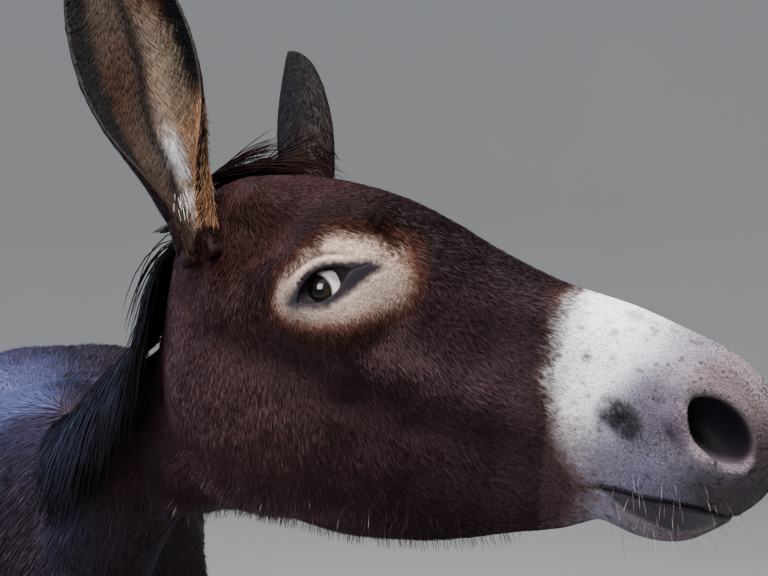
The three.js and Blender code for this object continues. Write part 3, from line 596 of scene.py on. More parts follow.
NET_LOW, NET_HIGH = (-719, -326, 12), (1230, 520, 1480)     # corners of the box that the net fills
MOVING_BELOW = (20, 9, 9, 5, 5, 5)          # points of edges under so many mm move after each splitting


def plain_skin_field(p):
    """The skin without nostrils, mouth and lids."""
    return skin_field(p, False)


def whole_skin(cell):
    """The skin as points and triangles: a coarse net of cells that size, split where edges are too
    long."""
    points, faces = surface_net(plain_skin_field, NET_LOW, NET_HIGH, cell)
    points = settle(points, faces, plain_skin_field, np.ones(len(points), bool))
    for level, moving_below in enumerate(MOVING_BELOW):
        corners = points[faces]
        longest = np.linalg.norm(corners - np.roll(corners, 1, axis=1), axis=-1).max(1)
        chosen = longest > longest_edge(corners.mean(1))
        if not chosen.any():
            break
        points, faces = refine(points, faces, chosen)
        field = plain_skin_field if level == 0 else skin_field
        if level == 1:
            points = dented(points)
        moving = longest_edge(points) < moving_below
        points = settle(points, faces, field, moving)
    return points, faces


# ---------------- closed tubes
def tube_faces(rows, around):
    """Triangles of a closed tube of rows rings with that many points around: two for each cell, and a
    fan at each end to a point of its own, which come after the rings' points."""
    ring = np.arange(around)
    after = (ring + 1) % around
    row = around * np.arange(rows - 1)[:, None]
    i, j = (row + ring).ravel(), (row + after).ravel()
    end, first, last = (rows - 1) * around, rows * around, rows * around + 1
    return np.concatenate([
        np.stack([i, j, j + around], 1),
        np.stack([i, j + around, i + around], 1),
        np.stack([after, ring, np.full(around, first)], 1),
        np.stack([end + ring, end + after, np.full(around, last)], 1),
    ])


def facing_out(points, faces):
    """The triangles turned so that they face outwards: six times the volume is the sum of triple
    products."""
    a, b, c = (points - points.mean(0))[faces.T]
    return faces if dot(a, np.cross(b, c)).sum() > 0 else faces[:, ::-1]


# ---------------- ears, each a leaf rolled across its length
EAR_LENGTH = 268.0
EAR_ROOT = np.array([48.0, 60.0, 74.0])
EAR_AXIS = {1: unit((-0.49, 0.52, 0.69)), -1: unit((-0.47, -0.06, 0.88))}
EAR_OPENING = {1: (0.62, 0.78, -0.1), -1: (0.62, -0.78, -0.1)}
EAR_THICKNESS = 5.0
EAR_SPREAD = 10.0                                              # how far the leaf bows back at mid length
EAR_BELOW = -0.085                                             # where the shell starts, under the skin
EAR_HAIR_BELOW = -0.10                                         # and where its hair does
ear_half = curve((0, 40), (0.1, 48), (0.25, 58), (0.42, 63), (0.6, 58), (0.78, 44), (0.9, 27), (0.97, 13),
                 (1, 5))
ear_roll = curve((0, 150), (0.12, 128), (0.3, 92), (0.5, 74), (0.75, 62), (1, 50))


def ear_axes(side):
    """The ear's root and its directions along, out of its opening, and across."""
    axis = EAR_AXIS[side]
    opening = np.array(EAR_OPENING[side])
    opening = unit(opening - dot(opening, axis) * axis)
    return EAR_ROOT * [1, side, 1], axis, opening, np.cross(axis, opening)


def ear_point(side, t, k, wall):
    """A point of the ear in the head's frame: t from root to tip, k from -1 to 1 across, and wall mm
    from the leaf's middle towards its hollow. Across, the leaf is an arc of a circle whose angle
    shrinks to the tip."""
    root, axis, opening, across = ear_axes(side)
    roll = np.radians(ear_roll(t))
    radius = ear_half(t) / roll
    turn = k * roll
    depth = radius * (1 - np.cos(turn)) - EAR_SPREAD * np.sin(np.pi * t) + EAR_SPREAD
    terms = ((axis, EAR_LENGTH * t), (opening, depth + wall * np.cos(turn)),
             (across, radius * np.sin(turn) - wall * np.sin(turn)))
    return root + sum(direction * np.asarray(size)[..., None] for direction, size in terms)


def in_ear(h, side):
    """The inverse of ear_point: t, k and wall of points in the head's frame."""
    root, axis, opening, across = ear_axes(side)
    q = h - root
    t = dot(q, axis) / EAR_LENGTH
    inside = np.clip(t, 0, 1)
    roll = np.radians(ear_roll(inside))
    radius = ear_half(inside) / roll
    centre = radius - EAR_SPREAD * np.sin(np.pi * inside) + EAR_SPREAD
    x, y = centre - dot(q, opening), dot(q, across)
    return t, np.arctan2(y, x) / roll, radius - np.hypot(x, y)


def half_wall(t, k):
    """Half the ear's thickness: least at the tip and at both rims."""
    return EAR_THICKNESS / 2 * (1 - 0.5 * t) * np.sqrt(1 - 0.75 * np.abs(k) ** 6)


def ear_shell(side):
    """A closed shell from under the skin to the tip: the hollow's face and the back, joined round the
    rim."""
    rows, columns = 72, 30
    t = np.sin(np.linspace(EAR_BELOW, 1, rows) * np.pi / 2)[:, None]
    k = np.linspace(-1, 1, columns)[None]
    half = half_wall(np.abs(t), k)
    rings = np.concatenate([ear_point(side, t, k, half), ear_point(side, t, k, -half)[:, ::-1]], 1)
    points = np.concatenate([rings.reshape(-1, 3), rings[0].mean(0)[None], rings[-1].mean(0)[None]])
    return from_head(points), tube_faces(rows, 2 * columns)


# ---------------- from the donkey's frame to the scene's
def eye_shift():
    """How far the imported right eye's middle is from where the shape functions put it, in mm."""
    low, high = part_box("eye_right")
    return np.array((low + high) / 2) / MM - from_head(EYE * [1, -1, 1])


SHIFT = eye_shift()


def placed(p):
    """Points in mm of the donkey's frame, in metres of the scene's."""
    return (p + SHIFT) * MM


def shaped(p):
    """The inverse of placed."""
    return p / MM - SHIFT


def add_mesh(name, points, faces, material, colours, patches=None):
    """Makes a mesh object that rides on the donkey, from points in mm, with a colour for each point
    and, on coat, a place on the OFBake map for each face's corners."""
    mesh = bpy.data.meshes.new(name)
    faces = np.asarray(faces)
    mesh.vertices.add(len(points))
    mesh.vertices.foreach_set("co", placed(points).astype(np.float32).ravel())
    mesh.loops.add(faces.size)
    mesh.loops.foreach_set("vertex_index", faces.astype(np.int32).ravel())
    mesh.polygons.add(len(faces))
    mesh.polygons.foreach_set("loop_start", np.arange(0, faces.size, faces.shape[1], dtype=np.int32))
    mesh.polygons.foreach_set("use_smooth", np.ones(len(faces), bool))
    layer = mesh.color_attributes.new(COLOUR, "FLOAT_COLOR", "POINT")
    rgba = np.concatenate([np.clip(colours, 0, 1), np.ones((len(colours), 1))], 1)
    layer.data.foreach_set("color", rgba.astype(np.float32).ravel())
    if patches is not None:
        mesh.uv_layers.new(name="OFBake").uv.foreach_set("vector", patches.astype(np.float32).ravel())
    mesh.update()
    mesh.validate()
    piece = bpy.data.objects.new(name, mesh)
    bpy.context.scene.collection.objects.link(piece)
    mesh.materials.append(material)
    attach(piece, "root")
    return piece


def skin_arrays():
    """The skin's points and normals in the donkey's frame, and the triangles of all of it but the ears."""
    mesh = bpy.data.objects["skin"].data
    points = np.empty(len(mesh.vertices) * 3, np.float32)
    normals = np.empty(len(mesh.vertices) * 3, np.float32)
    faces = np.empty(len(mesh.loops), np.int32)
    mesh.vertices.foreach_get("co", points)
    mesh.vertices.foreach_get("normal", normals)
    mesh.loops.foreach_get("vertex_index", faces)
    faces = faces.reshape(-1, 3)
    faces = faces[faces.max(1) < bpy.data.objects["skin"][HAIRED]]
    return shaped(points.reshape(-1, 3).astype(float)), normals.reshape(-1, 3).astype(float), faces


# ---------------- what a user can change
COLOUR = "coat_colour"
HAIRED = "points_off_the_ears"


def length_property(name, default, words):
    """A length in metres."""
    return FloatProperty(name=name, description=words, default=default, min=0, subtype="DISTANCE",
                         unit="LENGTH")


def factor_property(name, least, most, words):
    """A factor that is 1 unless changed."""
    return FloatProperty(name=name, description=words, default=1, min=least, max=most, subtype="FACTOR")


def power_property(name, default, words):
    """A light's power in watts."""
    return FloatProperty(name=name, description=words, default=default, min=0, unit="POWER")


def colour_property(name, code, words):
    """A colour from its hex code."""
    return FloatVectorProperty(name=name, description=words, default=linear(code), subtype="COLOR", min=0,
                               max=1)


class DonkeySizes(bpy.types.PropertyGroup):
    """Lengths and amounts of the coat and skin."""
    skin_cell: length_property("Skin cell", 0.013, "Lattice spacing that the skin is first meshed at")
    face_hair: length_property("Face hair", 0.0085, "Length of a tuft on the cheek and forehead")
    muzzle_hair: length_property("Muzzle hair", 0.0026, "Length of a tuft on the muzzle and by the eyes")
    body_hair: length_property("Body hair", 0.026, "Length of a tuft on the trunk")
    leg_hair: length_property("Leg hair", 0.012, "Length of a tuft on the lower legs")
    mane_hair: length_property("Mane hair", 0.165, "Length of the longest hair of the mane")
    whisker: length_property("Whisker", 0.024, "Length of the longest whisker on the lips")
    thickness: factor_property("Tuft width", 0.2, 3, "Multiplies every tuft's width")
    fullness: factor_property("Fullness", 0.05, 1, "Multiplies the number of tufts")
    seed: IntProperty(name="Seed", description="Starts the random numbers of the coat", default=7, min=0)


class DonkeyColours(bpy.types.PropertyGroup):
    """Colours of the coat, skin, eyes and hooves."""
    body: colour_property("Body", "2a2026", "Coat of the trunk and neck")
    face: colour_property("Face", "402b2d", "Coat of the cheek and jaw")
    warm: colour_property("Warm brown", "2e0f09", "Coat of the temple, where it is reddest")
    # bridge also paints the bluish sky sheen towards the nose and the shade on the upper forehead
    bridge: colour_property("Nose bridge", "201618", "Coat along the top of the nose")
    fringe: colour_property("Red fringe", "492819", "Border of the pale muzzle and of the eye ring")
    pale: colour_property("Pale muzzle", "f0ecf0", "Fur of the muzzle")
    # grey also paints the shade under the muzzle and in the crease behind each nostril
    grey: colour_property("Grey muzzle", "6a6670", "Fur between the nostril and the lips")
    ring: colour_property("Eye ring", "c2ab9c", "Fur round the eye")
    belly: colour_property("Belly", "91867b", "Coat of the belly and inner legs")
    # black, lifted, also paints the bluish light inside the nostrils
    black: colour_property("Black skin", "0c0a0c", "Lids, lips' edge and inside of the nostrils")
    mane: colour_property("Mane", "120c0c", "Mane, forelock and tail")
    ear_hair: colour_property("Ear hair", "927f6e", "Long hair inside the ears")
    tan: colour_property("Tan", "87634a", "Tufts at the root of the ears")
    iris: colour_property("Iris", "1a100b", "Iris of the eye")
    sclera: colour_property("Sclera", "f4e6e0", "White of the eye")
    hoof: colour_property("Hoof", "2e2824", "Horn of the hooves")
    floor: colour_property("Floor", "b8b7b5", "Studio floor and backdrop")


class DonkeyStage(bpy.types.PropertyGroup):
    """Strengths of the studio light."""
    key: power_property("Key light", 140, "Soft light from above")
    fill: power_property("Fill light", 38, "Soft light from the right and front")
    sky: power_property("Cool light", 55, "Blue light on the shoulder and back")
    glint: power_property("Catch light", 2.5, "A small light that the right eye mirrors")
    surround: FloatProperty(name="Surround", description="Strength of the even light from all round",
                            default=0.85, min=0)


def sizes():
    """The scene's donkey sizes."""
    return bpy.context.scene.donkey_sizes


def tint(name):
    """One of the scene's donkey colours, as an array."""
    return np.array(getattr(bpy.context.scene.donkey_colours, name))


# ---------------- markings, the same for skin and coat
def muzzle_edge(z):
    """Where the pale muzzle begins, along the head, by height."""
    return np.interp(z, [-80, -60, -54, -41, -25, -6, 12, 31, 64],
                     [379, 388, 386, 375, 370, 362, 355, 353, 356])


# the pale eye ring, in the head's x and z: its middle, and how far it reaches in mm at each turn in degrees
RING_MIDDLE = np.array([204.0, 55.0])
RING_TURN = (-180, -156, -142, -124, -86, -50, -29, -19, 0, 31, 48, 64, 90, 114, 127, 159, 180)
RING_REACH = (38, 46, 45, 39, 31, 31, 36, 42, 44, 42.5, 41, 38.5, 34, 34.5, 29, 31, 38)

# dark spots on the muzzle: x, y, z in the head, radius, and how dark; the first three are one stippled patch
SPOTS = (
    (392, -54, 2, 10, 0.75), (401, -57, 0, 10, 0.75), (406, -59, -3, 9, 0.7),
    (393, -18, 62, 6, 0.5), (379, -32, 57, 3, 0.4), (370, -37, 53, 1.8, 0.7), (363, -42, 47, 2.4, 0.7),
    (365, -43, 40, 2.2, 0.8), (370, -44, 30, 3.2, 0.85), (407, -24, 56, 3.4, 0.5), (418, -15, 56, 3.2, 0.45),
    (431, -20, 52, 3, 0.6), (407, -52, 31, 2, 0.6), (392, -36, 50, 2, 0.5), (385, -45, 29, 2, 0.5),
    (445, -43, 41, 2, 0.5), (456, -33, 41, 2.4, 0.45), (421, -62, 18, 2.4, 0.55), (432, -66, 1, 2.4, 0.55),
    (389, -52, -20, 2, 0.45), (392, -45, -40, 2, 0.4), (388, 30, 58, 4, 0.5), (376, 48, 34, 2.6, 0.8),
    (402, 52, 12, 2.2, 0.6), (420, 28, 44, 3, 0.5), (398, 56, -14, 2.6, 0.6), (412, 52, -8, 2, 0.5),
)


def ring_share(h):
    """1 inside the pale eye ring and 0 outside, with the distance past its edge in mm as second result."""
    q = h[:, [0, 2]] - RING_MIDDLE
    turn = np.degrees(np.arctan2(q[:, 1], q[:, 0]))
    past = np.linalg.norm(q, axis=-1) - np.interp(turn, RING_TURN, RING_REACH)
    past = past + 2.5 * noise(h, 1.3, 31) + 1.5 * noise(h, 11, 32)
    return 1 - ramp(past, -8, 4), past


def face_colour(h, z, x):
    """Brown, darker towards the nose with a painted bluish sky sheen, painted shade on the upper forehead and
    below the eye, and redder on the temple.
    """
    colour = np.tile(tint("face"), (len(h), 1))
    # darker towards the nose, and painted bluer there: a painted sheen of sky light
    colour = mix(colour, tint("bridge") * [1.0, 1.25, 1.7], 0.55 * ramp(x, 170, 330))
    # painted shade: the upper forehead painted darker
    colour = mix(colour, tint("bridge") * 0.6, ramp(z, 35, 90) * ramp(x, 60, 230) * 0.9)
    warm = np.exp(-((x - 110) / 50) ** 2 - ((z - 66) / 56) ** 2) * (0.95 + 0.25 * noise(h, 26, 23))
    warm = warm + 0.5 * np.exp(-((x - 60) / 30) ** 2 - ((z - 92) / 26) ** 2)
    colour = mix(colour, tint("warm") * 0.45, np.clip(warm, 0, 1))
    colour = colour * (1 + 0.20 * noise(h, 40, 24) + 0.12 * noise(h, 14, 25))[:, None]
    # painted shade: a dark patch below the eye, over the cheek bone
    return colour * (1 - 0.35 * np.exp(-((x - 215) / 60) ** 2 - ((z - 8) / 26) ** 2))[:, None]


def muzzle_colour(h, s, fine, edge):
    """White fur that greys towards the nostrils and lips, painted darker and bluer on its underside as shade,
    with a pale rim behind each nostril and a painted shade in the crease behind it, fine stipple, dark specks
    and spots, and brown speckles near its edge."""
    x, y, z = s.T
    low = ramp(-z, -12, 40) * ramp(x, 352, 432)
    wing = bar(s, (446, 62, 12), (420, 60, 10), 14, 22)
    front = ramp(x, 424, 454) * ramp(y, 22, 42) * ramp(z, -40, 10)
    chin = ramp(-z, 56, 64) * ramp(x, 392, 408)
    rim = np.abs(ball(s, NOSTRIL + np.array([0, 0, -1]), (26, 19, 34), NOSTRIL_AXES))
    rim = np.exp(-(rim / 2.1) ** 2) * (ramp(-x, -458, -444) + ramp(-z, 2, 10)) * (z > -16)
    muzzle = np.tile(tint("pale"), (len(h), 1))
    for tone, share in (
            ((1.12, 1.04, 1.16), 0.92 * ramp(x - 0.45 * z, 352, 412)),   # side of the nose
            ((0.92, 0.90, 1.06), 0.88 * low),   # upper lip: its grey fur, painted darker and bluer as shade on the underside
            ((1.20, 1.02, 0.94), 0.85 * ramp(x - 0.5 * z, 388, 440) * ramp(z, -24, 8)),   # over the nostril
            ((0.44, 0.39, 0.44), 0.85 * (1 - ramp(wing, -12, 16)) * (y > 20)),   # painted shade in the crease behind the nostril's rim
            ((0.66, 0.53, 0.45), 0.9 * front),   # end of the nose
            ((0.36, 0.28, 0.25), 0.9 * ramp(x, 462, 480) * ramp(-z, -30, 0)),   # before the nostril
            ((0.34, 0.29, 0.28), ramp(-z, 8, 30) * ramp(x, 424, 458)),   # front of the lip
            ((1.00, 0.86, 0.80), 0.9 * chin),
            ((1.16, 1.00, 1.00), 0.75 * np.clip(rim, 0, 1) * (y > 20)),   # pale rim
    ):
        muzzle = mix(muzzle, tint("grey") * tone, share)
    stipple = np.clip(noise(h, 1.1, 27) - 0.25, 0, 1) * (0.25 + 0.75 * ramp(-z, -20, 20))
    muzzle = muzzle * (1 - 0.75 * stipple)[:, None]
    speckle = np.clip(0.45 * fine + 0.25, 0, 1) * ramp(x - edge, 26, 4)
    muzzle = mix(muzzle, tint("fringe") * 1.5, 0.75 * speckle)
    muzzle = muzzle * (1 + 0.06 * fine)[:, None]
    for *place, radius, dark in SPOTS:
        gap = np.linalg.norm(h - place, axis=-1)
        share = dark * (1 - ramp(gap, 0.8 * radius, 1.35 * radius + 0.5)) * np.clip(0.95 + 0.5 * fine, 0, 1)
        muzzle = muzzle * (1 - share)[:, None]
    speck = ramp(noise(h, 3.4, 29), 0.60, 0.72) * ramp(x, 350, 370)
    return muzzle * (1 - 0.65 * speck)[:, None]


def ring_colour(h, fine, past):
    """Fur round the eye: pale and stippled, browner at the ring's edge and darker behind and below the
    lids."""
    u, v, _ = in_eye(h).T
    ring = tint("ring") * (1 + 0.14 * fine - 0.8 * np.clip(noise(h, 1.1, 28) - 0.2, 0, 1))[:, None]
    ring = mix(ring, tint("fringe") * 2.2, 0.35 * ramp(past, -16, -2))
    corner = 0.8 * np.exp(-((u + 25) / 8) ** 2 - ((v + 1) / 10) ** 2)
    dark = corner + 0.42 * ramp(-u, 0, 28) + 0.32 * ramp(-v, 2, 20)
    return mix(ring, tint("ring") * 0.20, np.clip(dark, 0, 1))


def head_colour(h):
    """Coat colour on the head: the face, then the muzzle past its edge, and the ring round each eye,
    with a red fringe at both borders."""
    s = mirrored(h)
    x, y, z = s.T
    fine = noise(h, 1.6, 21) + 0.7 * noise(h, 3.5, 22)
    edge = muzzle_edge(z) + 3.0 * noise(h, 12, 26) + 3.2 * fine
    colour = mix(face_colour(h, z, x), tint("fringe"), ramp(x - edge, -24, -2) * 0.6)
    colour = mix(colour, muzzle_colour(h, s, fine, edge), ramp(x - edge, -16, 12))
    share, past = ring_share(s)
    colour = mix(colour, tint("fringe"), 0.7 * ramp(-past, -13, -1) * (y > 30))
    return mix(colour, ring_colour(h, fine, past), share * (y > 30))


def body_colour(p):
    """Coat colour off the head: brown, with a pale belly and pale insides to the legs."""
    x, y, z = p.T
    y = np.abs(y)
    colour = np.tile(tint("body"), (len(p), 1))
    colour = colour * (1 + 0.16 * noise(p, 110, 41) + 0.14 * noise(p, 30, 42))[:, None]
    warm = ramp(p[:, 0], 480, 760) * ramp(z, 1000, 1150) * np.clip(0.3 + noise(p, 60, 43), 0, 0.5)
    colour = mix(colour, tint("warm"), warm)
    wobble = 18 * noise(p, 45, 44)
    under = ramp(belly(x) + 70 + wobble - z, 0, 60) * ramp(x, -420, -330) * (1 - ramp(x, 330, 400))
    under = under * (z > 560)
    inner = ramp(T - 20 - y + 0.5 * wobble, 0, 30) * ramp(z, 470, 640) * (1 - ramp(z, 760, 860))
    colour = mix(colour, tint("belly"), np.maximum(under, 0.85 * inner))
    spine = (1 - ramp(y, 8, 26)) * ramp(z, 1000, 1080) * (x < 420)
    return colour * (1 - 0.35 * spine)[:, None]


def markings(p):
    """Coat colour anywhere but the ears, in linear red, green and blue."""
    h = to_head(p)
    near = within_head(h)
    colour = body_colour(p)
    h = h[near]
    on_head = ramp(h[:, 0] + 0.15 * h[:, 2], -60, 10) * ramp(h[:, 2], -185, -125)
    colour[near] = mix(colour[near], head_colour(h), on_head)
    return colour


def bare_skin(p):
    """How bare the skin is, from 0 to 1: insides of the nostrils, the lips' edge, the lower lip and the
    lids."""
    h = to_head(p)
    s = mirrored(h)
    x, _, z = s.T
    middle = NOSTRIL - nostril_in * 3 + np.array([2.5, 0, 1])
    nostril = 1 - ramp(ball(s, middle, (24, 17, 30), NOSTRIL_AXES), -3.5, 0)
    lips = (1 - ramp(np.abs(z - lip_line(x) + 1.5) - 1.5, 0, 2.5)) * ramp(x, 386, 396)
    wedge = np.interp(x, [392, 410, 422, 437, 450, 457, 463, 468],
                      [-54, -64, -66, -70, -69, -66, -58, -52])
    # the lower lip's own bare dark skin, painted darker towards its front as shadow
    lower = (0.90 + 0.08 * ramp(x, 415, 450)) * (x > 393) * (x < 469)
    lips = np.maximum(lips, lower * ramp(z - wedge + noise(h, 3, 34), -3, 2) * (z < lip_line(x)))
    u, v, w = in_eye(h).T
    above, below = np.interp(u, RIM_ALONG, RIM_ABOVE), np.interp(u, RIM_ALONG, RIM_BELOW)
    past = np.maximum(v - above, below - v)
    lids = (1 - ramp(past + 1.4 * noise(h, 2.0, 33), -5, 2.5)) * (w > 0) * (np.abs(u) < 46)
    return np.clip(np.maximum(np.maximum(nostril * (x > 400), lips), lids), 0, 1)


# ---------------- lie of the coat
def lie(p):
    """The way the hair points: forward and down on the face, round the eyes, down the neck, back along the
    trunk and down the legs."""
    h = to_head(p)
    s = mirrored(h)
    x, _, z = s.T
    side = np.where(h[:, 1] < 0, -1.0, 1.0)
    forward = np.clip(0.10 + 0.85 * ramp(x, 90, 400) + 0.75 * ramp(z, 50, 100) * ramp(x, 40, 130), 0, 1)
    head = np.stack([forward, 0.12 * side * (1 - forward), -(1 - forward) - 0.12], -1)
    head[:, 0] += 0.5 * np.sin(x / 23) * np.exp(-((z - 98) / 22) ** 2) * 0.4
    muzzle = ramp(x, 350, 410)
    head = mix(head, unit(np.stack([0.75 + 0 * x, 0.1 * side, -0.55 + 0.25 * ramp(z, 0, 60)], -1)), muzzle)
    q = in_eye(h)
    r = np.linalg.norm(q[:, :2] / [1.25, 0.8], axis=-1, keepdims=True)
    from_eye = unit(s - EYE) * np.where(h[:, 1:2] < 0, [1, -1, 1], [1, 1, 1])
    near_eye = np.exp(-(np.maximum(r - 22, 0) / 14) ** 2)
    head = head + near_eye * from_eye * (0.25 - np.minimum(dot(head, from_eye), 0))[:, None]
    head = head @ HEAD_AXES.T
    a, b, c = p.T
    trunk = np.stack([-0.85 + 0 * a, 0.1 * np.sign(b), -0.30 - 0.25 * ramp(c, 1150, 900)], -1)
    chest = ramp(a, 380, 520)
    trunk = mix(trunk, np.stack([-0.25 + 0 * a, 0 * a, -0.9 + 0 * a], -1), chest)
    rump = ramp(-a, 430, 600)
    trunk = mix(trunk, np.stack([-0.25 + 0 * a, 0 * a, -0.9 + 0 * a], -1), rump)
    trunk = mix(trunk, np.array([-0.12, 0, -1.0]), ramp(-c, -760, -620))
    neck = np.stack([-0.35 + 0 * a, -0.15 + 0 * a, -0.9 + 0 * a], -1)
    on_neck = ramp(a, 440, 560) * ramp(c, 850, 960)
    body = mix(trunk, neck, on_neck)
    on_head = ramp(h[:, 0] + 0.15 * h[:, 2], -60, 20) * within_head(h)
    return mix(body, head, on_head)


# ---------------- tufts
PATCH = 0.003                                                  # a tuft's size on the OFBake map
TUFT_FACES = np.array([[0, 2, 3], [2, 1, 3], [1, 0, 3], [0, 1, 2]])
TUFT_PATCH = np.array([[0.0, 0.0], [1.0, 0.0], [0.5, 0.9], [0.5, 0.35]]) * PATCH


def scatter(points, normals, faces, weight, count, rng):
    """count roots on the triangles, in proportion to area times weight: evenly spaced draws along the
    running total, and a random place within each triangle. Returns places and normals."""
    a, b, c = points[faces[:, 0]], points[faces[:, 1]], points[faces[:, 2]]
    area = np.linalg.norm(np.cross(b - a, c - a), axis=-1) * weight
    total = np.cumsum(area)
    draw = (np.arange(count) + rng.random(count)) / count * total[-1]
    chosen = np.minimum(np.searchsorted(total, draw), len(faces) - 1)
    u, v = rng.random((2, count))
    flip = u + v > 1
    u, v = np.where(flip, 1 - u, u), np.where(flip, 1 - v, v)
    share = np.stack([1 - u - v, u, v], 1)[..., None]
    corners = faces[chosen]
    return (points[corners] * share).sum(1), unit((normals[corners] * share).sum(1))


def combed(root, normal, direction, rng, spread, clump_size):
    """The hair's direction in the skin's plane, turned a little by smooth noise so that hairs lie in
    locks."""
    along = unit(direction - dot(direction, normal)[:, None] * normal)
    turn = spread * (0.75 * noise(root, clump_size, 51) + 0.45 * noise(root, clump_size * 0.35, 52)
                     + 0.35 * rng.normal(size=len(root)))
    side = np.cross(normal, along)
    return along * np.cos(turn)[:, None] + side * np.sin(turn)[:, None]


def tufts(root, normal, along, length, width, lift):
    """A thin four-faced solid for each tuft: a low triangle sunk at the root, drawn out to one point
    along the hair and raised by the angle lift. Returns points and faces."""
    side = np.cross(normal, along)
    w = width[:, None]
    base = root - 0.3 * w * normal - 0.06 * length[:, None] * along
    tip = root + length[:, None] * (np.cos(lift)[:, None] * along + np.sin(lift)[:, None] * normal)
    corners = np.stack([base + 0.5 * w * side, base - 0.5 * w * side, base + 0.62 * w * normal, tip], 1)
    faces = (4 * np.arange(len(root)))[:, None, None] + TUFT_FACES[None]
    return corners.reshape(-1, 3), faces.reshape(-1, 3)


def tuft_patches(place):
    """Each tuft's small patch on the OFBake map, at its root's place there."""
    return (place[:, None, None] + TUFT_PATCH[TUFT_FACES][None]).reshape(-1, 2)


def tuft_colours(colour, rng, spread=0.12, root_painted_shade=0.75):
    """Root to tip colour of each tuft: darker at the root than at the tip, a painted shade among the hairs,
    and a little darker or lighter than its neighbours.
    """
    value = np.exp(spread * rng.normal(size=(len(colour), 1)))
    root, tip = colour * value * root_painted_shade, colour * value * 1.15
    return np.stack([root, root, 0.5 * (root + tip), tip], 1).reshape(-1, 3)


def coat_piece(name, material, part, count, length, width, unwrap, lift=(0.07, 0.03), spread=0.22,
               clump=16.0, shade=0.75):
    """One piece of coat: tufts over the part of the skin where part is above 0."""
    rng = np.random.default_rng(sizes().seed + len(name) + sum(map(ord, name)))
    points, normals, faces = skin_arrays()
    middle = points[faces].mean(1)
    weight = part(middle)
    chosen = weight > 0
    count = int(count * sizes().fullness)
    root, normal = scatter(points, normals, faces[chosen], weight[chosen], count, rng)
    keep = bare_skin(root) < 0.35
    root, normal = root[keep], normal[keep]
    along = combed(root, normal, lie(root), rng, spread, clump)
    n = len(root)
    long = length(root) * np.exp(0.18 * rng.normal(size=n)) * (1 + 0.25 * noise(root, clump, 53))
    wide = width(root) * sizes().thickness * np.exp(0.2 * rng.normal(size=n))
    rise = np.clip(lift[0] + lift[1] * (rng.normal(size=n) + noise(root, clump, 54)), 0.03, 0.6)
    made, triangles = tufts(root, normal, along, long, wide, rise)
    # shade: how dark each tuft's root is painted, a painted shade among the hairs
    colours = tuft_colours(markings(root), rng, root_painted_shade=shade)
    return add_mesh(name, made, triangles, material, colours, tuft_patches(unwrap(root)))


def head_unwrap(p):
    h = to_head(p)
    return np.stack([(np.arctan2(h[:, 1], h[:, 2] - 10) / (2 * np.pi) + 0.5) * 0.98 + 0.005,
                     np.clip((h[:, 0] + 60) / 560, 0, 1) * 0.98 + 0.005], 1)


def neck_unwrap(p):
    s, across, height, along = in_neck(p)
    turn = np.arctan2(across, height) / (2 * np.pi) + 0.5
    place = np.clip((s * neck_span + along) / 900 + 0.15, 0, 1)
    return np.stack([turn * 0.98 + 0.005, place * 0.98 + 0.005], 1)


def trunk_unwrap(p):
    x, y, z = p.T
    turn = np.arctan2(y, z - 910) / (2 * np.pi) + 0.5
    return np.stack([turn * 0.98 + 0.005, np.clip((x + 700) / 1350, 0, 1) * 0.98 + 0.005], 1)


def leg_unwrap(p):
    """Each leg has a quarter of the map: angle round it, and height."""
    x, y, z = p.T
    hind = x < -60
    centre_x = np.where(hind, np.interp(z, [60, 470, 700], [-520, -562, -440]), 402)
    turn = np.arctan2(np.abs(y) - T, x - centre_x) / (2 * np.pi) + 0.5
    quarter = 2 * hind + (y > 0)
    return np.stack([(quarter + 0.02 + 0.95 * turn) / 4, np.clip(z / 800, 0, 1) * 0.98 + 0.005], 1)


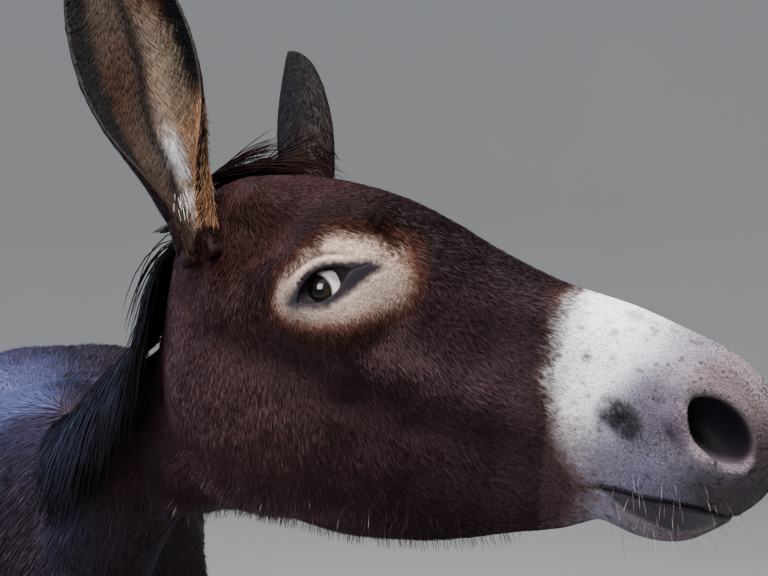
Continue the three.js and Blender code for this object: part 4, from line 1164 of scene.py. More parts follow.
# ---------------- hair of the ears
def ear_colour(side, t, k, front):
    """Inside: brown walls, a dark channel and a paler band of long hair by the front rim, tan and white
    at the root, and black rims. Back: dark brown, black to the tip."""
    k = k * -side                                              # 1 at the rim nearer the nose
    place = np.stack([t * EAR_LENGTH, k * 60, 0 * t], -1)
    dark = np.tile(tint("black") * [0.5, 0.36, 0.32], (len(t), 1))
    dark = mix(dark, tint("warm") * 0.45, (1 - ramp(t, 0.1, 0.5)) * 0.6)
    wall = mix(tint("ear_hair") * 0.17, tint("fringe") * 0.28, 0.5 + 0.5 * noise(place, 60, 61))
    wall = mix(wall, tint("ear_hair") * 0.15, ramp(t, 0.6, 0.95))
    middle = np.interp(t, [0.12, 0.3, 0.55, 1], [0.1, 0.12, 0.36, 0.4])
    half = np.interp(t, [0.1, 0.3, 0.55], [0.14, 0.24, 0.29])
    band = mix(tint("ear_hair") * 0.55, tint("fringe") * 0.6, ramp(t, 0.52, 0.8))
    inner = mix(wall, band, np.exp(-((k - middle) / half) ** 2) * (1 - ramp(t, 0.85, 1)))
    tan = (1 - ramp(t, 0.26, 0.42)) * ramp(k, 0.16, 0.36)
    inner = mix(inner, tint("tan") * (1 - 0.55 * ramp(t, 0.2, 0.36))[:, None], 0.95 * tan)
    # painted shade deep in the ear's hollow near its root
    root_hollow_shade = np.exp(-((k - 0.62) / 0.3) ** 2 - ((t - 0.145) / 0.022) ** 2)
    inner = mix(inner, tint("black") * 2, 0.8 * root_hollow_shade)
    white = np.exp(-((k - 0.04) / 0.15) ** 2 - ((t - 0.2) / 0.07) ** 2)
    inner = mix(inner, tint("pale") * 0.42, 0.9 * white)
    channel = k - np.interp(t, [0.1, 0.15, 0.3, 0.55, 1], [-0.2, -0.14, -0.22, -0.04, 0])
    inner = mix(inner, tint("black"), 0.9 * np.exp(-(channel / 0.1) ** 2) * ramp(t, 0.02, 0.1))
    inner = inner * (1 + 0.3 * noise(place, 14, 62))[:, None]
    rim = np.where(k < 0, ramp(-k, 0.58, 0.74), ramp(k, 0.58, 0.72) * ramp(t, 0.26, 0.4))
    inner = mix(inner, tint("black"), rim)
    return np.where(front[:, None], inner, dark)


def ear_lie(side, t, k, front):
    """Hair runs to the tip on the back; inside, it leans over the hollow from both rims."""
    step = 1e-3
    here = ear_point(side, t, k, 0 * t)
    along = unit(ear_point(side, t + step, k, 0 * t) - here)
    across = unit(ear_point(side, t, k + step, 0 * t) - here)
    inward = -np.sign(k) * np.clip(np.abs(k) * 1.6, 0, 1) * np.where(front, 0.75, 0.15)
    return unit(along + inward[:, None] * across), unit(np.cross(along, across)) * side_sign(side)


def side_sign(side):
    """1 if along x across points into the ear's hollow, -1 if it points out of its back."""
    here = np.array([0.5]), np.array([0.0])
    step = 1e-3
    middle = ear_point(side, *here, np.zeros(1))
    along = ear_point(side, here[0] + step, here[1], np.zeros(1)) - middle
    across = ear_point(side, here[0], here[1] + step, np.zeros(1)) - middle
    hollow = ear_point(side, *here, np.ones(1)) - middle
    return float(np.sign(dot(np.cross(along, across), hollow))[0])


def ear_coat(side, name, material, count):
    """Short fur on both faces of an ear, and longer hair inside it."""
    rng = np.random.default_rng(sizes().seed + 100 + side)
    t = rng.uniform(EAR_HAIR_BELOW, 1, 3 * count)
    t = t[rng.random(len(t)) < ear_half(np.maximum(t, 0)) / 64][:count]
    n = len(t)
    k = rng.uniform(-1, 1, n)
    front = rng.random(n) < 0.5
    facing = np.where(front, 1.0, -1.0)
    root = ear_point(side, t, k, half_wall(t, k) * facing)
    along, normal = ear_lie(side, t, k, front)
    normal = normal * facing[:, None]
    nose_rim = np.clip(k * -side, 0, 1)
    long = np.where(front, 9 + 7 * nose_rim * (1 - t), 7.5) * np.exp(0.2 * rng.normal(size=n))
    along = combed(root, normal, along, rng, 0.24, 14)
    rise = np.clip(np.where(front, 0.16, 0.09) + 0.05 * rng.normal(size=n), 0.03, 0.5)
    wide = 0.85 * sizes().thickness * np.exp(0.2 * rng.normal(size=n))
    made, faces = tufts(root, normal, along, long, wide, rise)
    colours = tuft_colours(ear_colour(side, t, k, front), rng)
    place = np.stack([np.where(front, 0.02, 0.51) + (k + 1) * 0.235, 0.09 + 0.88 * t], 1)
    return add_mesh(name, from_head(made), faces, material, colours, tuft_patches(place))


# ---------------- long hair
def strands(path, radius, colour, rng, spread=0.2):
    """A three-sided tube along each path, from its root to a point: path is strands x stations x 3.
    Each tube's rings stand across it, on axes carried from a fixed one. Returns points, faces and
    colours."""
    n, m, _ = path.shape
    forward = unit(np.gradient(path, axis=1))
    side = unit(np.cross(forward, np.array([0.31, 0.22, 0.92])))
    up = np.cross(side, forward)
    turn = 2 * np.pi * np.arange(3) / 3
    place = np.linspace(0, 1, m)
    taper = np.sqrt(np.clip(1 - place ** 2.2, 0, 1)) * (0.75 + 0.25 * np.sqrt(place))
    thick = radius[:, None] * taper
    ring = side[:, :, None] * np.cos(turn)[:, None] + up[:, :, None] * np.sin(turn)[:, None]
    points = path[:, :-1, None] + ring[:, :-1] * thick[:, :-1, None, None]
    points = np.concatenate([points.reshape(n, -1, 3), path[:, -1:]], 1)
    i = (3 * np.arange(m - 2)[:, None] + np.arange(3)).ravel()
    j = (3 * np.arange(m - 2)[:, None] + (np.arange(3) + 1) % 3).ravel()
    last = 3 * (m - 2)
    tube = np.concatenate([
        np.stack([i, j, j + 3], 1),
        np.stack([i, j + 3, i + 3], 1),
        [[last, last + 1, last + 3], [last + 1, last + 2, last + 3], [last + 2, last, last + 3], [2, 1, 0]],
    ])
    count = points.shape[1]
    faces = (count * np.arange(n))[:, None, None] + tube[None]
    value = np.exp(spread * rng.normal(size=(n, 1, 1)))
    # each strand darker at its root than at its tip: a painted shade among the hairs
    shade = np.concatenate([np.repeat(0.8 + 0.4 * place[:-1], 3), [1.25]])[None, :, None]
    colours = colour[:, None] * value * shade
    return points.reshape(-1, 3), faces.reshape(-1, 3), colours.reshape(-1, 3), tube


def strand_piece(name, material, path, radius, colour, place, rng, spread=0.2):
    points, faces, colours, tube = strands(path, radius, colour, rng, spread)
    # on the map, each ring of a strand is a small triangle a little further along than the one before
    m = path.shape[1]
    ring = np.array([[0, 0], [0.34, 0], [0.17, 0.3]]) * PATCH
    local = ring[None] + np.linspace(0, 0.66, m - 1)[:, None, None] * PATCH
    local = np.concatenate([local.reshape(-1, 2), [[PATCH, PATCH]]])
    patches = place[:, None, None] + local[tube][None]
    return add_mesh(name, points, faces, material, colours, patches.reshape(-1, 2))


def clear_of(p, room):
    """Moves points out until they are room mm off the coat's surface."""
    f, g = slope(coat_field, p, 1.0)
    short = np.maximum(room - f, 0)
    return p + short[:, None] * unit(g)


def hang(root, direction, length, stations, pull, room, rng, wave=0.0, clump=20.0):
    """Paths of hairs that leave their roots in a direction and bend by pull towards the ground at each
    step, kept off the coat by room, with a shared smooth sideways wave so that they hang in locks."""
    path = [root]
    heading = unit(direction)
    step = (length / (stations - 1))[:, None]
    offset = rng.normal(size=(len(root), 3)) * 0.02
    for i in range(stations - 1):
        sway = np.stack([noise(root, clump, 71 + axis) + 0.5 * noise(path[-1], clump * 2.2, 74 + axis)
                         for axis in range(3)], -1)
        heading = unit(heading + pull * np.array([0, 0, -1.0]) + wave * sway + offset)
        path.append(clear_of(path[-1] + step * heading, room * (0.3 + 0.7 * i / stations)))
        heading = unit(path[-1] - path[-2])
    return np.stack(path, 1)


def surface_along(middle, away):
    """Where the coat's surface is, going away from each middle: found by halving a reach of 320 mm."""
    low, high = np.zeros(len(middle)), np.full(len(middle), 320.0)
    for _ in range(14):
        half = (low + high) / 2
        inside = coat_field(middle + half[:, None] * away) < 0
        low, high = np.where(inside, half, low), np.where(inside, high, half)
    return middle + low[:, None] * away


# how long the hair is in mm at each share of the neck
mane_fall = curve((0, 14), (0.34, 18), (0.5, 40), (0.66, 140), (0.85, 165), (1, 120))


def build_mane(material):
    """The mane: hair from the crest that hangs close down the right side of the neck, longest behind
    the ears and short at the withers."""
    rng = np.random.default_rng(sizes().seed + 11)
    n = 2300
    u = np.clip(0.47 + 0.55 * rng.random(n) ** 0.7, 0, 1)
    middle, forward, left, up, _, _ = neck_frame(u)
    across = rng.normal(size=n) * 11 - 12
    away = unit(up - (across / 190)[:, None] * left)
    root = surface_along(middle, away) - 4 * away
    length = mane_fall(u) * (sizes().mane_hair / MM / 165) * rng.uniform(0.5, 1.15, n)
    lock = noise(root, 26, 77)
    lift = 0.12 + 0.5 * np.clip(lock, 0, 1)
    right = 0.8 + 0.15 * rng.normal(size=n)
    rearward = 0.10 - 0.45 * ramp(u, 0.86, 0.98) + 0.3 * rng.normal(size=n) * ramp(u, 0.6, 0.9)
    direction = lift[:, None] * away - right[:, None] * left - 0.45 * up - rearward[:, None] * forward
    path = hang(root, direction, length, 8, 0.46, 1 + 4 * rng.random(n), rng, 0.06, 22)
    colour = tint("mane") * (0.5 + 0.4 * rng.random((n, 1)))
    place = neck_unwrap(root)
    return strand_piece("mane_hair", material, path, 0.6 + 0.4 * rng.random(n), colour, place, rng)


def build_forelock(material):
    """The forelock: a few straight wisps from between the ears, forward over the forehead and to both
    sides."""
    rng = np.random.default_rng(sizes().seed + 12)
    n, wisps = 640, 26
    wisp = rng.integers(0, wisps, n)
    back_x = rng.uniform(-34, 40, wisps)[wisp] + 3 * rng.normal(size=n)
    across = (rng.normal(size=wisps) * 14)[wisp] + 3 * rng.normal(size=n)
    h = np.stack([back_x, across, head_top(back_x) + 6], -1)
    root = clear_of(from_head(h), -4)
    heading = np.stack([0.55 + 0.30 * rng.random(wisps), 0.10 + 0.40 * rng.random(wisps),
                        0.35 + 0.50 * rng.random(wisps)], -1)[wisp]
    heading = heading + 0.05 * rng.normal(size=(n, 3))
    length = rng.uniform(46, 96, wisps)[wisp] * rng.uniform(0.7, 1.1, n)
    path = hang(root, heading @ HEAD_AXES.T, length, 7, 0.14, 1 + 4 * rng.random(n), rng, 0.05, 15)
    colour = mix(tint("mane"), tint("warm"), rng.uniform(0, 0.4, n))
    radius = 0.45 + 0.25 * rng.random(n)
    return strand_piece("forelock_hair", material, path, radius, colour, head_unwrap(root), rng)


# the ears' locks: how many hairs, where (t from and to, k and its spread), colour, length, how far they lean
# across the hollow rather than down to the root, and 1 inside the hollow or -1 outside it
EAR_LOCKS = (
    (860, 0.24, 0.62, 0.52, 0.12, ("ear_hair", 0.72), 24, 1.0, 1),   # pale band
    (380, 0.55, 0.90, 0.54, 0.12, ("fringe", 0.75), 16, 0.8, 1),   # its brown upper end
    (240, 0.17, 0.27, 0.10, 0.05, ("pale", 0.36), 22, 0.0, 1),   # white lock
    (380, 0.15, 0.34, 0.50, 0.16, ("tan", 0.85), 20, 0.1, 1),   # tan by the rim
    (260, 0.05, 0.12, 0.06, 0.11, ("pale", 0.66), 19, 0.0, 1),   # white tuft at the root
    (400, 0.02, 0.12, 0.48, 0.16, ("tan", 1.6), 22, 0.0, 1),   # tan tuft at the root
    (520, -0.02, 0.15, 0.66, 0.14, ("tan", 0.62), 17, 0.0, -1),   # the same, over the root's outer face
    (300, 0.14, 0.32, 0.70, 0.12, ("tan", 0.30), 14, 0.0, -1),   # tan and brown outside the rim above it
    (300, -0.08, 0.06, 0.20, 0.30, ("warm", 1.2), 16, 0.0, 1),   # dark hair round the root
)


def build_ear_hair(material):
    """Long hair inside both ears: each hair leaves the hollow's wall, leans across it or down, and
    curls in."""
    rng = np.random.default_rng(sizes().seed + 13)
    paths, colours, places = [], [], []
    for side in (-1, 1):
        for count, low, high, centre, spread, (name, shade), long, lean, face in EAR_LOCKS:
            if side > 0:
                count, name = count // 2, name if face > 0 else "black"
            t = rng.uniform(low, high, count)
            k = -side * np.clip(rng.normal(centre, spread, count), -0.9, 0.97)
            root = ear_point(side, t, k, np.full(count, 1.5 * face))
            along, inward = ear_lie(side, t, k, np.ones(count, bool))
            across = np.cross(along, inward)
            inward = inward * face
            across = across * np.sign(dot(across, ear_point(side, t, k * 0.9, 0 * t) - root))[:, None]
            out = 0.28 if face > 0 else 0.34
            heading = lean * across - 0.9 * (1 - lean) * along + out * inward
            heading = unit(heading + 0.11 * rng.normal(size=(count, 3)))
            length = long * rng.uniform(0.6, 1.2, count) * (1 - 0.3 * t)
            steps = [root]
            for _ in range(4):
                heading = unit(heading - 0.10 * along - 0.10 * inward)
                steps.append(steps[-1] + length[:, None] / 4 * heading)
            paths.append(np.stack(steps, 1))
            colours.append(tint(name) * shade * rng.uniform(0.55, 1.25, (count, 1)))
            places.append(np.stack([0.01 + 0.45 * (side > 0) + (k + 1) * 0.2, 0.02 + t * 0.95], 1))
    path = from_head(np.concatenate(paths).reshape(-1, 3)).reshape(-1, 5, 3)
    radius = rng.uniform(0.18, 0.34, len(path))
    return strand_piece("ear_hair", material, path, radius, np.concatenate(colours),
                        np.concatenate(places), rng)


def build_tail(material):
    """Hair round the end of the dock: a tassel to the hocks."""
    rng = np.random.default_rng(sizes().seed + 14)
    n = 1100
    height = rng.uniform(600, 760, n)
    turn = rng.uniform(0, 2 * np.pi, n)
    ring = np.stack([np.cos(turn), np.sin(turn), 0 * turn], -1)
    root = np.stack([0 * height - 690, 0 * height, height], -1) + ring * (13 + 5 * (height > 660))[:, None]
    length = height - 300 - 60 * rng.random(n) ** 2 - 130 * rng.random(n) * (height > 640)
    steps = [root]
    heading = unit(0.18 * ring + [0, 0, -1] + 0.04 * rng.normal(size=(n, 3)))
    m = 10
    for i in range(m - 1):
        out = 0.09 * np.cos(np.pi * i / (m - 2))
        sway = 0.06 * np.stack([noise(root, 14, 81), noise(root, 14, 82), 0 * turn], -1)
        heading = unit(heading * [0.6, 0.6, 1] + out * ring + sway)
        steps.append(steps[-1] + length[:, None] / (m - 1) * heading)
    colour = tint("mane") * rng.uniform(0.8, 1.7, (n, 1))
    place = np.stack([turn / (2 * np.pi) * 0.98, (height - 600) / 170], 1)
    path, radius = np.stack(steps, 1), rng.uniform(0.9, 1.6, n)
    return strand_piece("tail_hair", material, path, radius, colour, place, rng)


def build_fringe(material):
    """Longer sparse hair under the jaw and behind the fetlocks."""
    rng = np.random.default_rng(sizes().seed + 15)
    points, normals, faces = skin_arrays()
    middle = points[faces].mean(1)
    h = mirrored(to_head(middle))
    jaw = ramp(-h[:, 2], 90, 140) * (h[:, 0] > 20) * (h[:, 0] < 330) * (np.linalg.norm(h, axis=1) < 420)
    root, normal = scatter(points, normals, faces, jaw, 1500, rng)
    way = lie(root) + 0.12 * normal + [0, 0, -0.25]
    jaw_path = hang(root - normal, way, rng.uniform(5, 11, 1500), 5, 0.06, 1.0, rng, 0.1, 12)
    z = middle[:, 2]
    heel = (z > 130) * (z < 205) * (dot(normals[faces[:, 0]], np.array([-1.0, 0, 0])) > 0.35)
    root, normal = scatter(points, normals, faces, heel * 1.0, 700, rng)
    heel_path = hang(root - normal, 0.5 * normal + [-0.1, 0, -0.9], rng.uniform(9, 24, 700), 5, 0.1, 1.0,
                     rng, 0.1, 12)
    path = np.concatenate([jaw_path, heel_path])
    root = path[:, 0]
    colour = markings(root) * rng.uniform(0.6, 1.2, (len(root), 1))
    grey = rng.random(len(root)) < 0.04
    colour[grey] = mix(colour[grey], tint("ring"), np.full(grey.sum(), 0.45))
    x, _, z = root.T
    place = np.stack([np.clip((x + 700) / 1900, 0, 0.99), np.clip(z / 1450, 0, 0.99)], 1)
    radius = rng.uniform(0.15, 0.26, len(root))
    return strand_piece("jaw_and_heel_fringe", material, path, radius, colour, place, rng)


def build_whiskers(material):
    """Whiskers on the lips, chin and round the nostrils, and the lashes of both eyes."""
    rng = np.random.default_rng(sizes().seed + 16)
    points, normals, faces = skin_arrays()
    h = to_head(points[faces].mean(1))
    x, _, z = h.T
    lips = (x > 400) * (z < -24) * (0.35 + 0.65 * (z < -60))
    lips = lips * (np.linalg.norm(h - [430, 0, 0], axis=-1) < 130)
    root, normal = scatter(points, normals, faces, lips, 170, rng)
    n = len(root)
    way = lie(root) * 0.7 + 0.5 * normal + 0.25 * rng.normal(size=(n, 3)) + [0, 0, -0.2]
    length = sizes().whisker / MM * rng.uniform(0.1, 1, n) ** 2.4
    path = hang(root - normal, way, length + 5, 6, 0.10, 0.2, rng)
    colour = mix(tint("ring"), tint("black"), (rng.random(n) < 0.35) * 1.0)
    lash_paths, lash_colours = [], []
    for side in (-1, 1):
        for upper, count in ((1, 120), (-1, 40)):
            u = np.sort(rng.uniform(-17, 17, count))
            v = (upper_lid(u) if upper > 0 else lower_lid(u)) + 0.8 * upper
            w = np.sqrt(np.maximum((EYE_RADIUS + 3.4) ** 2 - u * u - v * v, 1))
            start = np.stack([u, v, w], -1)
            aim = np.stack([0.014 * u + 0.1 * rng.normal(size=count), np.full(count, 0.25 * upper),
                            np.ones(count)], -1) + [0, -0.30 * upper, 0]
            steps, heading = [start], unit(aim)
            long = (11 if upper > 0 else 5) * rng.uniform(0.6, 1.1, count)
            for _ in range(5):
                heading = unit(heading + [0, 0.12 * upper, 0])
                steps.append(steps[-1] + long[:, None] / 5 * heading)
            lash = np.stack(steps, 1) @ EYE_AXES.T + EYE
            lash_paths.append(from_head(lash * [1, side, 1]))
            lash_colours.append(np.tile(tint("mane"), (count, 1)))
    path = np.concatenate([path, *lash_paths])
    colour = np.concatenate([colour, *lash_colours])
    radius = np.concatenate([rng.uniform(0.06, 0.11, n), rng.uniform(0.2, 0.32, len(path) - n)])
    place = head_unwrap(path[:, 0]) * 0.99
    return strand_piece("whiskers_and_lashes", material, path, radius, colour, place, rng)


# ---------------- eyes
def build_eye(side, name, material):
    """An eyeball on a polar grid about its gaze: a sphere with a bulge of 1.0 mm over the iris. The
    pupil is a flat oval, the iris is streaked, its border dark, and the white is pink at its edge with
    fine veins."""
    rows, around = 56, 112
    theta = (np.linspace(0, 1, rows) ** 1.35 * np.pi)[:, None]
    phi = np.linspace(0, 2 * np.pi, around, endpoint=False)[None]
    gaze = GAZE * [1, side, 1]
    across = unit(np.array([1.0, 0, 0.25]) - dot(np.array([1.0, 0, 0.25]), gaze) * gaze)
    up = np.cross(gaze, across)
    direction = (np.cos(theta)[..., None] * gaze + np.sin(theta)[..., None]
                 * (np.cos(phi)[..., None] * across + np.sin(phi)[..., None] * up))
    bulge = 1.0 * np.exp(-(theta / 0.52) ** 2)
    ball_points = EYE * [1, side, 1] + direction * (EYE_RADIUS - 0.1 + bulge)[..., None]
    a = (EYE_RADIUS * np.sin(theta) * np.cos(phi)).ravel()
    b = (EYE_RADIUS * np.sin(theta) * np.sin(phi)).ravel()
    r = np.hypot(a, b)
    behind = np.broadcast_to(theta > np.pi / 2, (rows, around)).ravel()
    turn = np.arctan2(b, a)
    streak = noise(np.stack([np.cos(turn) * 9, np.sin(turn) * 9, 0.12 * r], -1), 0.7, 91)
    colour = tint("iris") * (1 + 0.7 * streak * ramp(r, 5, 11))[:, None]
    colour = colour * (0.8 + 0.9 * ramp(r, 6, 11))[:, None]
    pupil = np.hypot(a / 7.2, b / 4.4)
    colour = mix(colour, tint("black") * 0.15, 1 - ramp(pupil, 0.85, 1.1))
    colour = mix(colour, tint("black") * 0.5, np.exp(-((r - IRIS + 0.6) / 1.2) ** 2))
    vein = ramp(noise(direction.reshape(-1, 3) * EYE_RADIUS, 1.9, 92), 0.45, 0.8)
    white = mix(tint("sclera"), tint("fringe"), 0.25 * vein)
    white = mix(white, tint("fringe") * 0.8, 0.8 * ramp(-a, 5, 12))
    colour = mix(colour, white, np.where(behind, 1, ramp(r, IRIS - 0.4, IRIS + 0.8)))
    points = np.concatenate([ball_points[1:-1].reshape(-1, 3), ball_points[0, :1], ball_points[-1, :1]])
    points = from_head(points)
    colour = colour.reshape(rows, around, 3)
    colours = np.concatenate([colour[1:-1].reshape(-1, 3), colour[0, :1], colour[-1, :1]])
    faces = facing_out(points, tube_faces(rows - 2, around))
    return add_mesh(name, points, faces, material, colours)


# ---------------- hooves
HOOF_SOLE, HOOF_TOP = (50.0, 41.0), (35.0, 31.5)
HOOF_HEIGHT, HOOF_SLOPE, HOOF_LEAN, HOOF_HEEL = 54.0, 0.45, 15.0, 0.86


def build_hoof(name, centre, track, material):
    """A hoof lofted from its sole up to the sloping coronet, with growth rings round its wall: at
    height share s the outline goes straight from the sole's ellipse to the top's, and each ring stands
    0.35 mm proud."""
    around, rows = 96, 46
    turn = np.linspace(0, 2 * np.pi, around, endpoint=False)[None]
    s = np.linspace(0, 1, rows)[:, None]
    heel = np.where(np.cos(turn) < 0, HOOF_HEEL, 1)
    sole = np.stack([HOOF_LEAN + HOOF_SOLE[0] * np.cos(turn) * heel, HOOF_SOLE[1] * np.sin(turn)], -1)
    top = np.stack([HOOF_TOP[0] * np.cos(turn), HOOF_TOP[1] * np.sin(turn)], -1)
    high = HOOF_HEIGHT + HOOF_SLOPE * top[..., 0]
    size = (1 + 0.007 * np.sin(2 * np.pi * 9 * s + 1.2 * np.sin(turn)) * np.sin(np.pi * s)
            - 0.07 * np.exp(-s * 60))
    size = size * (1 - 0.06 * np.exp(-(((turn - np.pi) % (2 * np.pi)) / 0.22) ** 2) * (1 - s))
    outline = (sole * (1 - s)[..., None] + top * s[..., None]) * size[..., None]
    wall = np.concatenate([outline, (s * high)[..., None]], -1)
    inner = [wall[0] * [share, share, 1] + [HOOF_LEAN * (1 - share), 0, 0] for share in (0.86, 0.5)]
    cup = [wall[-1] * [share, share, 1] + [0, 0, 4 * (1 - share)] for share in (0.8, 0.4)]
    rings = np.stack([inner[1], inner[0], *wall, *cup])
    points = rings.reshape(-1, 3)
    ends = np.stack([inner[1].mean(0), cup[1].mean(0)])
    points = np.concatenate([points, ends]) + [centre, track, 0]
    points[:, 2] = np.maximum(points[:, 2], 0)
    shade = 0.8 + 0.5 * ramp(points[:, 2], 20, 70) + 0.15 * noise(points * [1, 1, 3], 7, 95)
    return add_mesh(name, points, tube_faces(len(rings), around), material, tint("hoof") * shade[:, None])


# ---------------- materials
def add_node(tree, kind, inputs=(), **settings):
    """One shader node with its settings, and with each input set to a value or linked to a socket."""
    made = tree.nodes.new("ShaderNode" + kind)
    for name, value in settings.items():
        setattr(made, name, value)
    for name, value in dict(inputs).items():
        if isinstance(value, bpy.types.NodeSocket):
            tree.links.new(value, made.inputs[name])
        else:
            made.inputs[name].default_value = value
    return made


def new_material(name, **finish):
    """A material with its shader's constants set: returns it, its node tree and the shader."""
    material = bpy.data.materials.new(name)
    material.use_nodes = True
    shader = material.node_tree.nodes["Principled BSDF"]
    for socket, value in finish.items():
        shader.inputs[socket.replace("_", " ")].default_value = value
    return material, material.node_tree, shader


def coloured(tree, shader, attribute, mottle, grain):
    """Base colour from the mesh's own colour attribute, mottled by noise whose grains are grain metres
    apart."""
    colour = add_node(tree, "Attribute", attribute_name=attribute).outputs["Color"]
    place = add_node(tree, "TexCoord").outputs["Object"]
    cloud = add_node(tree, "TexNoise", {"Vector": place, "Scale": 1 / grain, "Detail": 3.0})
    value = add_node(tree, "MapRange", {"Value": cloud.outputs["Fac"], "From Min": 0.3, "From Max": 0.7,
                                        "To Min": 1 - mottle, "To Max": 1 + mottle})
    shade = add_node(tree, "HueSaturation", {"Value": value.outputs["Result"], "Color": colour})
    tree.links.new(shade.outputs["Color"], shader.inputs["Base Color"])
    return place


def bumped(tree, shader, place, grain, depth, detail=2.0):
    """Bump from noise with grains that far apart and that deep, in metres."""
    noise_node = add_node(tree, "TexNoise", {"Vector": place, "Scale": 1 / grain, "Detail": detail})
    bump = add_node(tree, "Bump", {"Height": noise_node.outputs["Fac"], "Distance": depth, "Strength": 1.0})
    tree.links.new(bump.outputs["Normal"], shader.inputs["Normal"])


def short_coat():
    """Horse hair, short and clean: each hair is smooth keratin, so locks take a soft satin light at a
    slant."""
    material, tree, shader = new_material("short_equine_hair", Roughness=0.50, Specular_IOR_Level=0.045,
                                          Specular_Tint=(1.0, 0.90, 0.86, 1.0), Sheen_Weight=0.01,
                                          Sheen_Roughness=0.35, Sheen_Tint=(0.70, 0.80, 1.0, 1.0), IOR=1.55)
    place = coloured(tree, shader, COLOUR, 0.10, 0.004)
    bumped(tree, shader, place, 0.0007, 0.0002)
    return material


def long_coat():
    """Mane and tail hair: thicker and straighter than the coat, but dusty, so its locks stay dull and
    dark."""
    material, tree, shader = new_material("long_equine_hair", Roughness=0.60, Specular_IOR_Level=0.02,
                                          IOR=1.55, Specular_Tint=(1.0, 0.88, 0.80, 1.0))
    coloured(tree, shader, COLOUR, 0.12, 0.006)
    return material


def donkey_skin():
    """Skin under the coat: matt where hair covers it, with a leathery grain of 0.9 mm on the lips and
    lids."""
    material, tree, shader = new_material("haired_skin", Roughness=0.62, Specular_IOR_Level=0.15,
                                          Specular_Tint=(1.0, 0.86, 0.80, 1.0))
    place = coloured(tree, shader, COLOUR, 0.14, 0.0011)
    bare = add_node(tree, "Attribute", attribute_name="bare").outputs["Fac"]
    rough = add_node(tree, "MapRange", {"Value": bare, "To Min": 0.66, "To Max": 0.48})
    tree.links.new(rough.outputs["Result"], shader.inputs["Roughness"])
    bumped(tree, shader, place, 0.0009, 0.0004)
    return material


def wet_eye():
    """Cornea and white: wet, clear-coated and almost a mirror, so the studio shows in it."""
    material, tree, shader = new_material("wet_cornea", Roughness=0.12, IOR=1.376, Coat_Weight=1.0,
                                          Coat_Roughness=0.015, Coat_IOR=1.38)
    colour = add_node(tree, "Attribute", attribute_name=COLOUR).outputs["Color"]
    tree.links.new(colour, shader.inputs["Base Color"])
    return material


def hoof_horn():
    """Hoof wall: dense keratin horn with fine upright tubules 0.8 mm apart, worn to a dull satin."""
    material, tree, shader = new_material("hoof_horn", Roughness=0.45, IOR=1.54, Specular_IOR_Level=0.45)
    place = coloured(tree, shader, COLOUR, 0.2, 0.012)
    stretched = add_node(tree, "Mapping", {"Vector": place, "Scale": (1.0, 1.0, 0.08)})
    bumped(tree, shader, stretched.outputs["Vector"], 0.0008, 0.0003)
    return material


def studio_paper():
    """Matt seamless paper."""
    material, tree, shader = new_material("studio_paper", Roughness=0.95, Specular_IOR_Level=0.1)
    place = add_node(tree, "TexCoord").outputs["Object"]
    cloud = add_node(tree, "TexNoise", {"Vector": place, "Scale": 0.7, "Detail": 2.0})
    value = add_node(tree, "MapRange", {"Value": cloud.outputs["Fac"], "To Min": 0.97, "To Max": 1.03})
    shade = add_node(tree, "HueSaturation", {"Value": value.outputs["Result"],
                                             "Color": (*tint("floor"), 1)})
    tree.links.new(shade.outputs["Color"], shader.inputs["Base Color"])
    return material


def shared(make):
    """The material that make builds, built once."""
    return bpy.data.materials.get(MATERIALS[make]) or make()


MATERIALS = {short_coat: "short_equine_hair", long_coat: "long_equine_hair", donkey_skin: "haired_skin",
             wet_eye: "wet_cornea", hoof_horn: "hoof_horn", studio_paper: "studio_paper"}


# ---------------- stage
CAMERA_PLACE = np.array([484.0, -547.0, 125.0])                # in the head's frame, mm
CAMERA_RIGHT = np.array([0.86922, 0.47849, 0.12453])
CAMERA_AHEAD = np.array([-0.46355, 0.87627, -0.13145])
CAMERA_LENS, CAMERA_SENSOR = 36.5625, 36.0                     # mm


def add_light(name, at, aim, size, power, colour):
    """A square area light at a place in metres, aimed at another."""
    lamp = bpy.data.lights.new(name, "AREA")
    lamp.energy, lamp.size, lamp.color = power, size, colour
    holder = bpy.data.objects.new(name, lamp)
    bpy.context.scene.collection.objects.link(holder)
    holder.location = at
    holder.rotation_euler = (Vector(aim) - Vector(at)).to_track_quat("-Z", "Y").to_euler()
    return holder


def build_backdrop():
    """A round paper floor that curves up to a wall: a profile of straight, arc and straight turned
    about Z."""
    floor, bend, wall = 5.2, 2.0, 4.6
    arc = np.linspace(0, np.pi / 2, 24)
    radius = np.concatenate([np.linspace(0.02, floor, 12), floor + bend * np.sin(arc), [floor + bend]])
    height = np.concatenate([np.zeros(12), bend * (1 - np.cos(arc)), [wall]])
    turn = np.linspace(0, 2 * np.pi, 96, endpoint=False)
    points = np.stack([radius[:, None] * np.cos(turn), radius[:, None] * np.sin(turn),
                       np.broadcast_to(height[:, None], (len(radius), 96))], -1).reshape(-1, 3)
    ring, after = np.arange(96), (np.arange(96) + 1) % 96
    quads = [np.stack([row * 96 + ring, (row + 1) * 96 + ring, (row + 1) * 96 + after, row * 96 + after], 1)
             for row in range(len(radius) - 1)]
    mesh = bpy.data.meshes.new("studio_floor")
    mesh.from_pydata(points.tolist(), [], [*np.concatenate(quads).tolist(), ring.tolist()])
    mesh.polygons.foreach_set("use_smooth", np.ones(len(mesh.polygons), bool))
    mesh.materials.append(shared(studio_paper))
    floor_object = bpy.data.objects.new("studio_floor", mesh)
    bpy.context.scene.collection.objects.link(floor_object)


# ---------------- operators
SOLIDS_UNDER_SKIN = ("trunk", "neck", "head", "ear_left", "ear_right", "foreleg_left", "foreleg_right",
                     "hindleg_left", "hindleg_right", "tail")


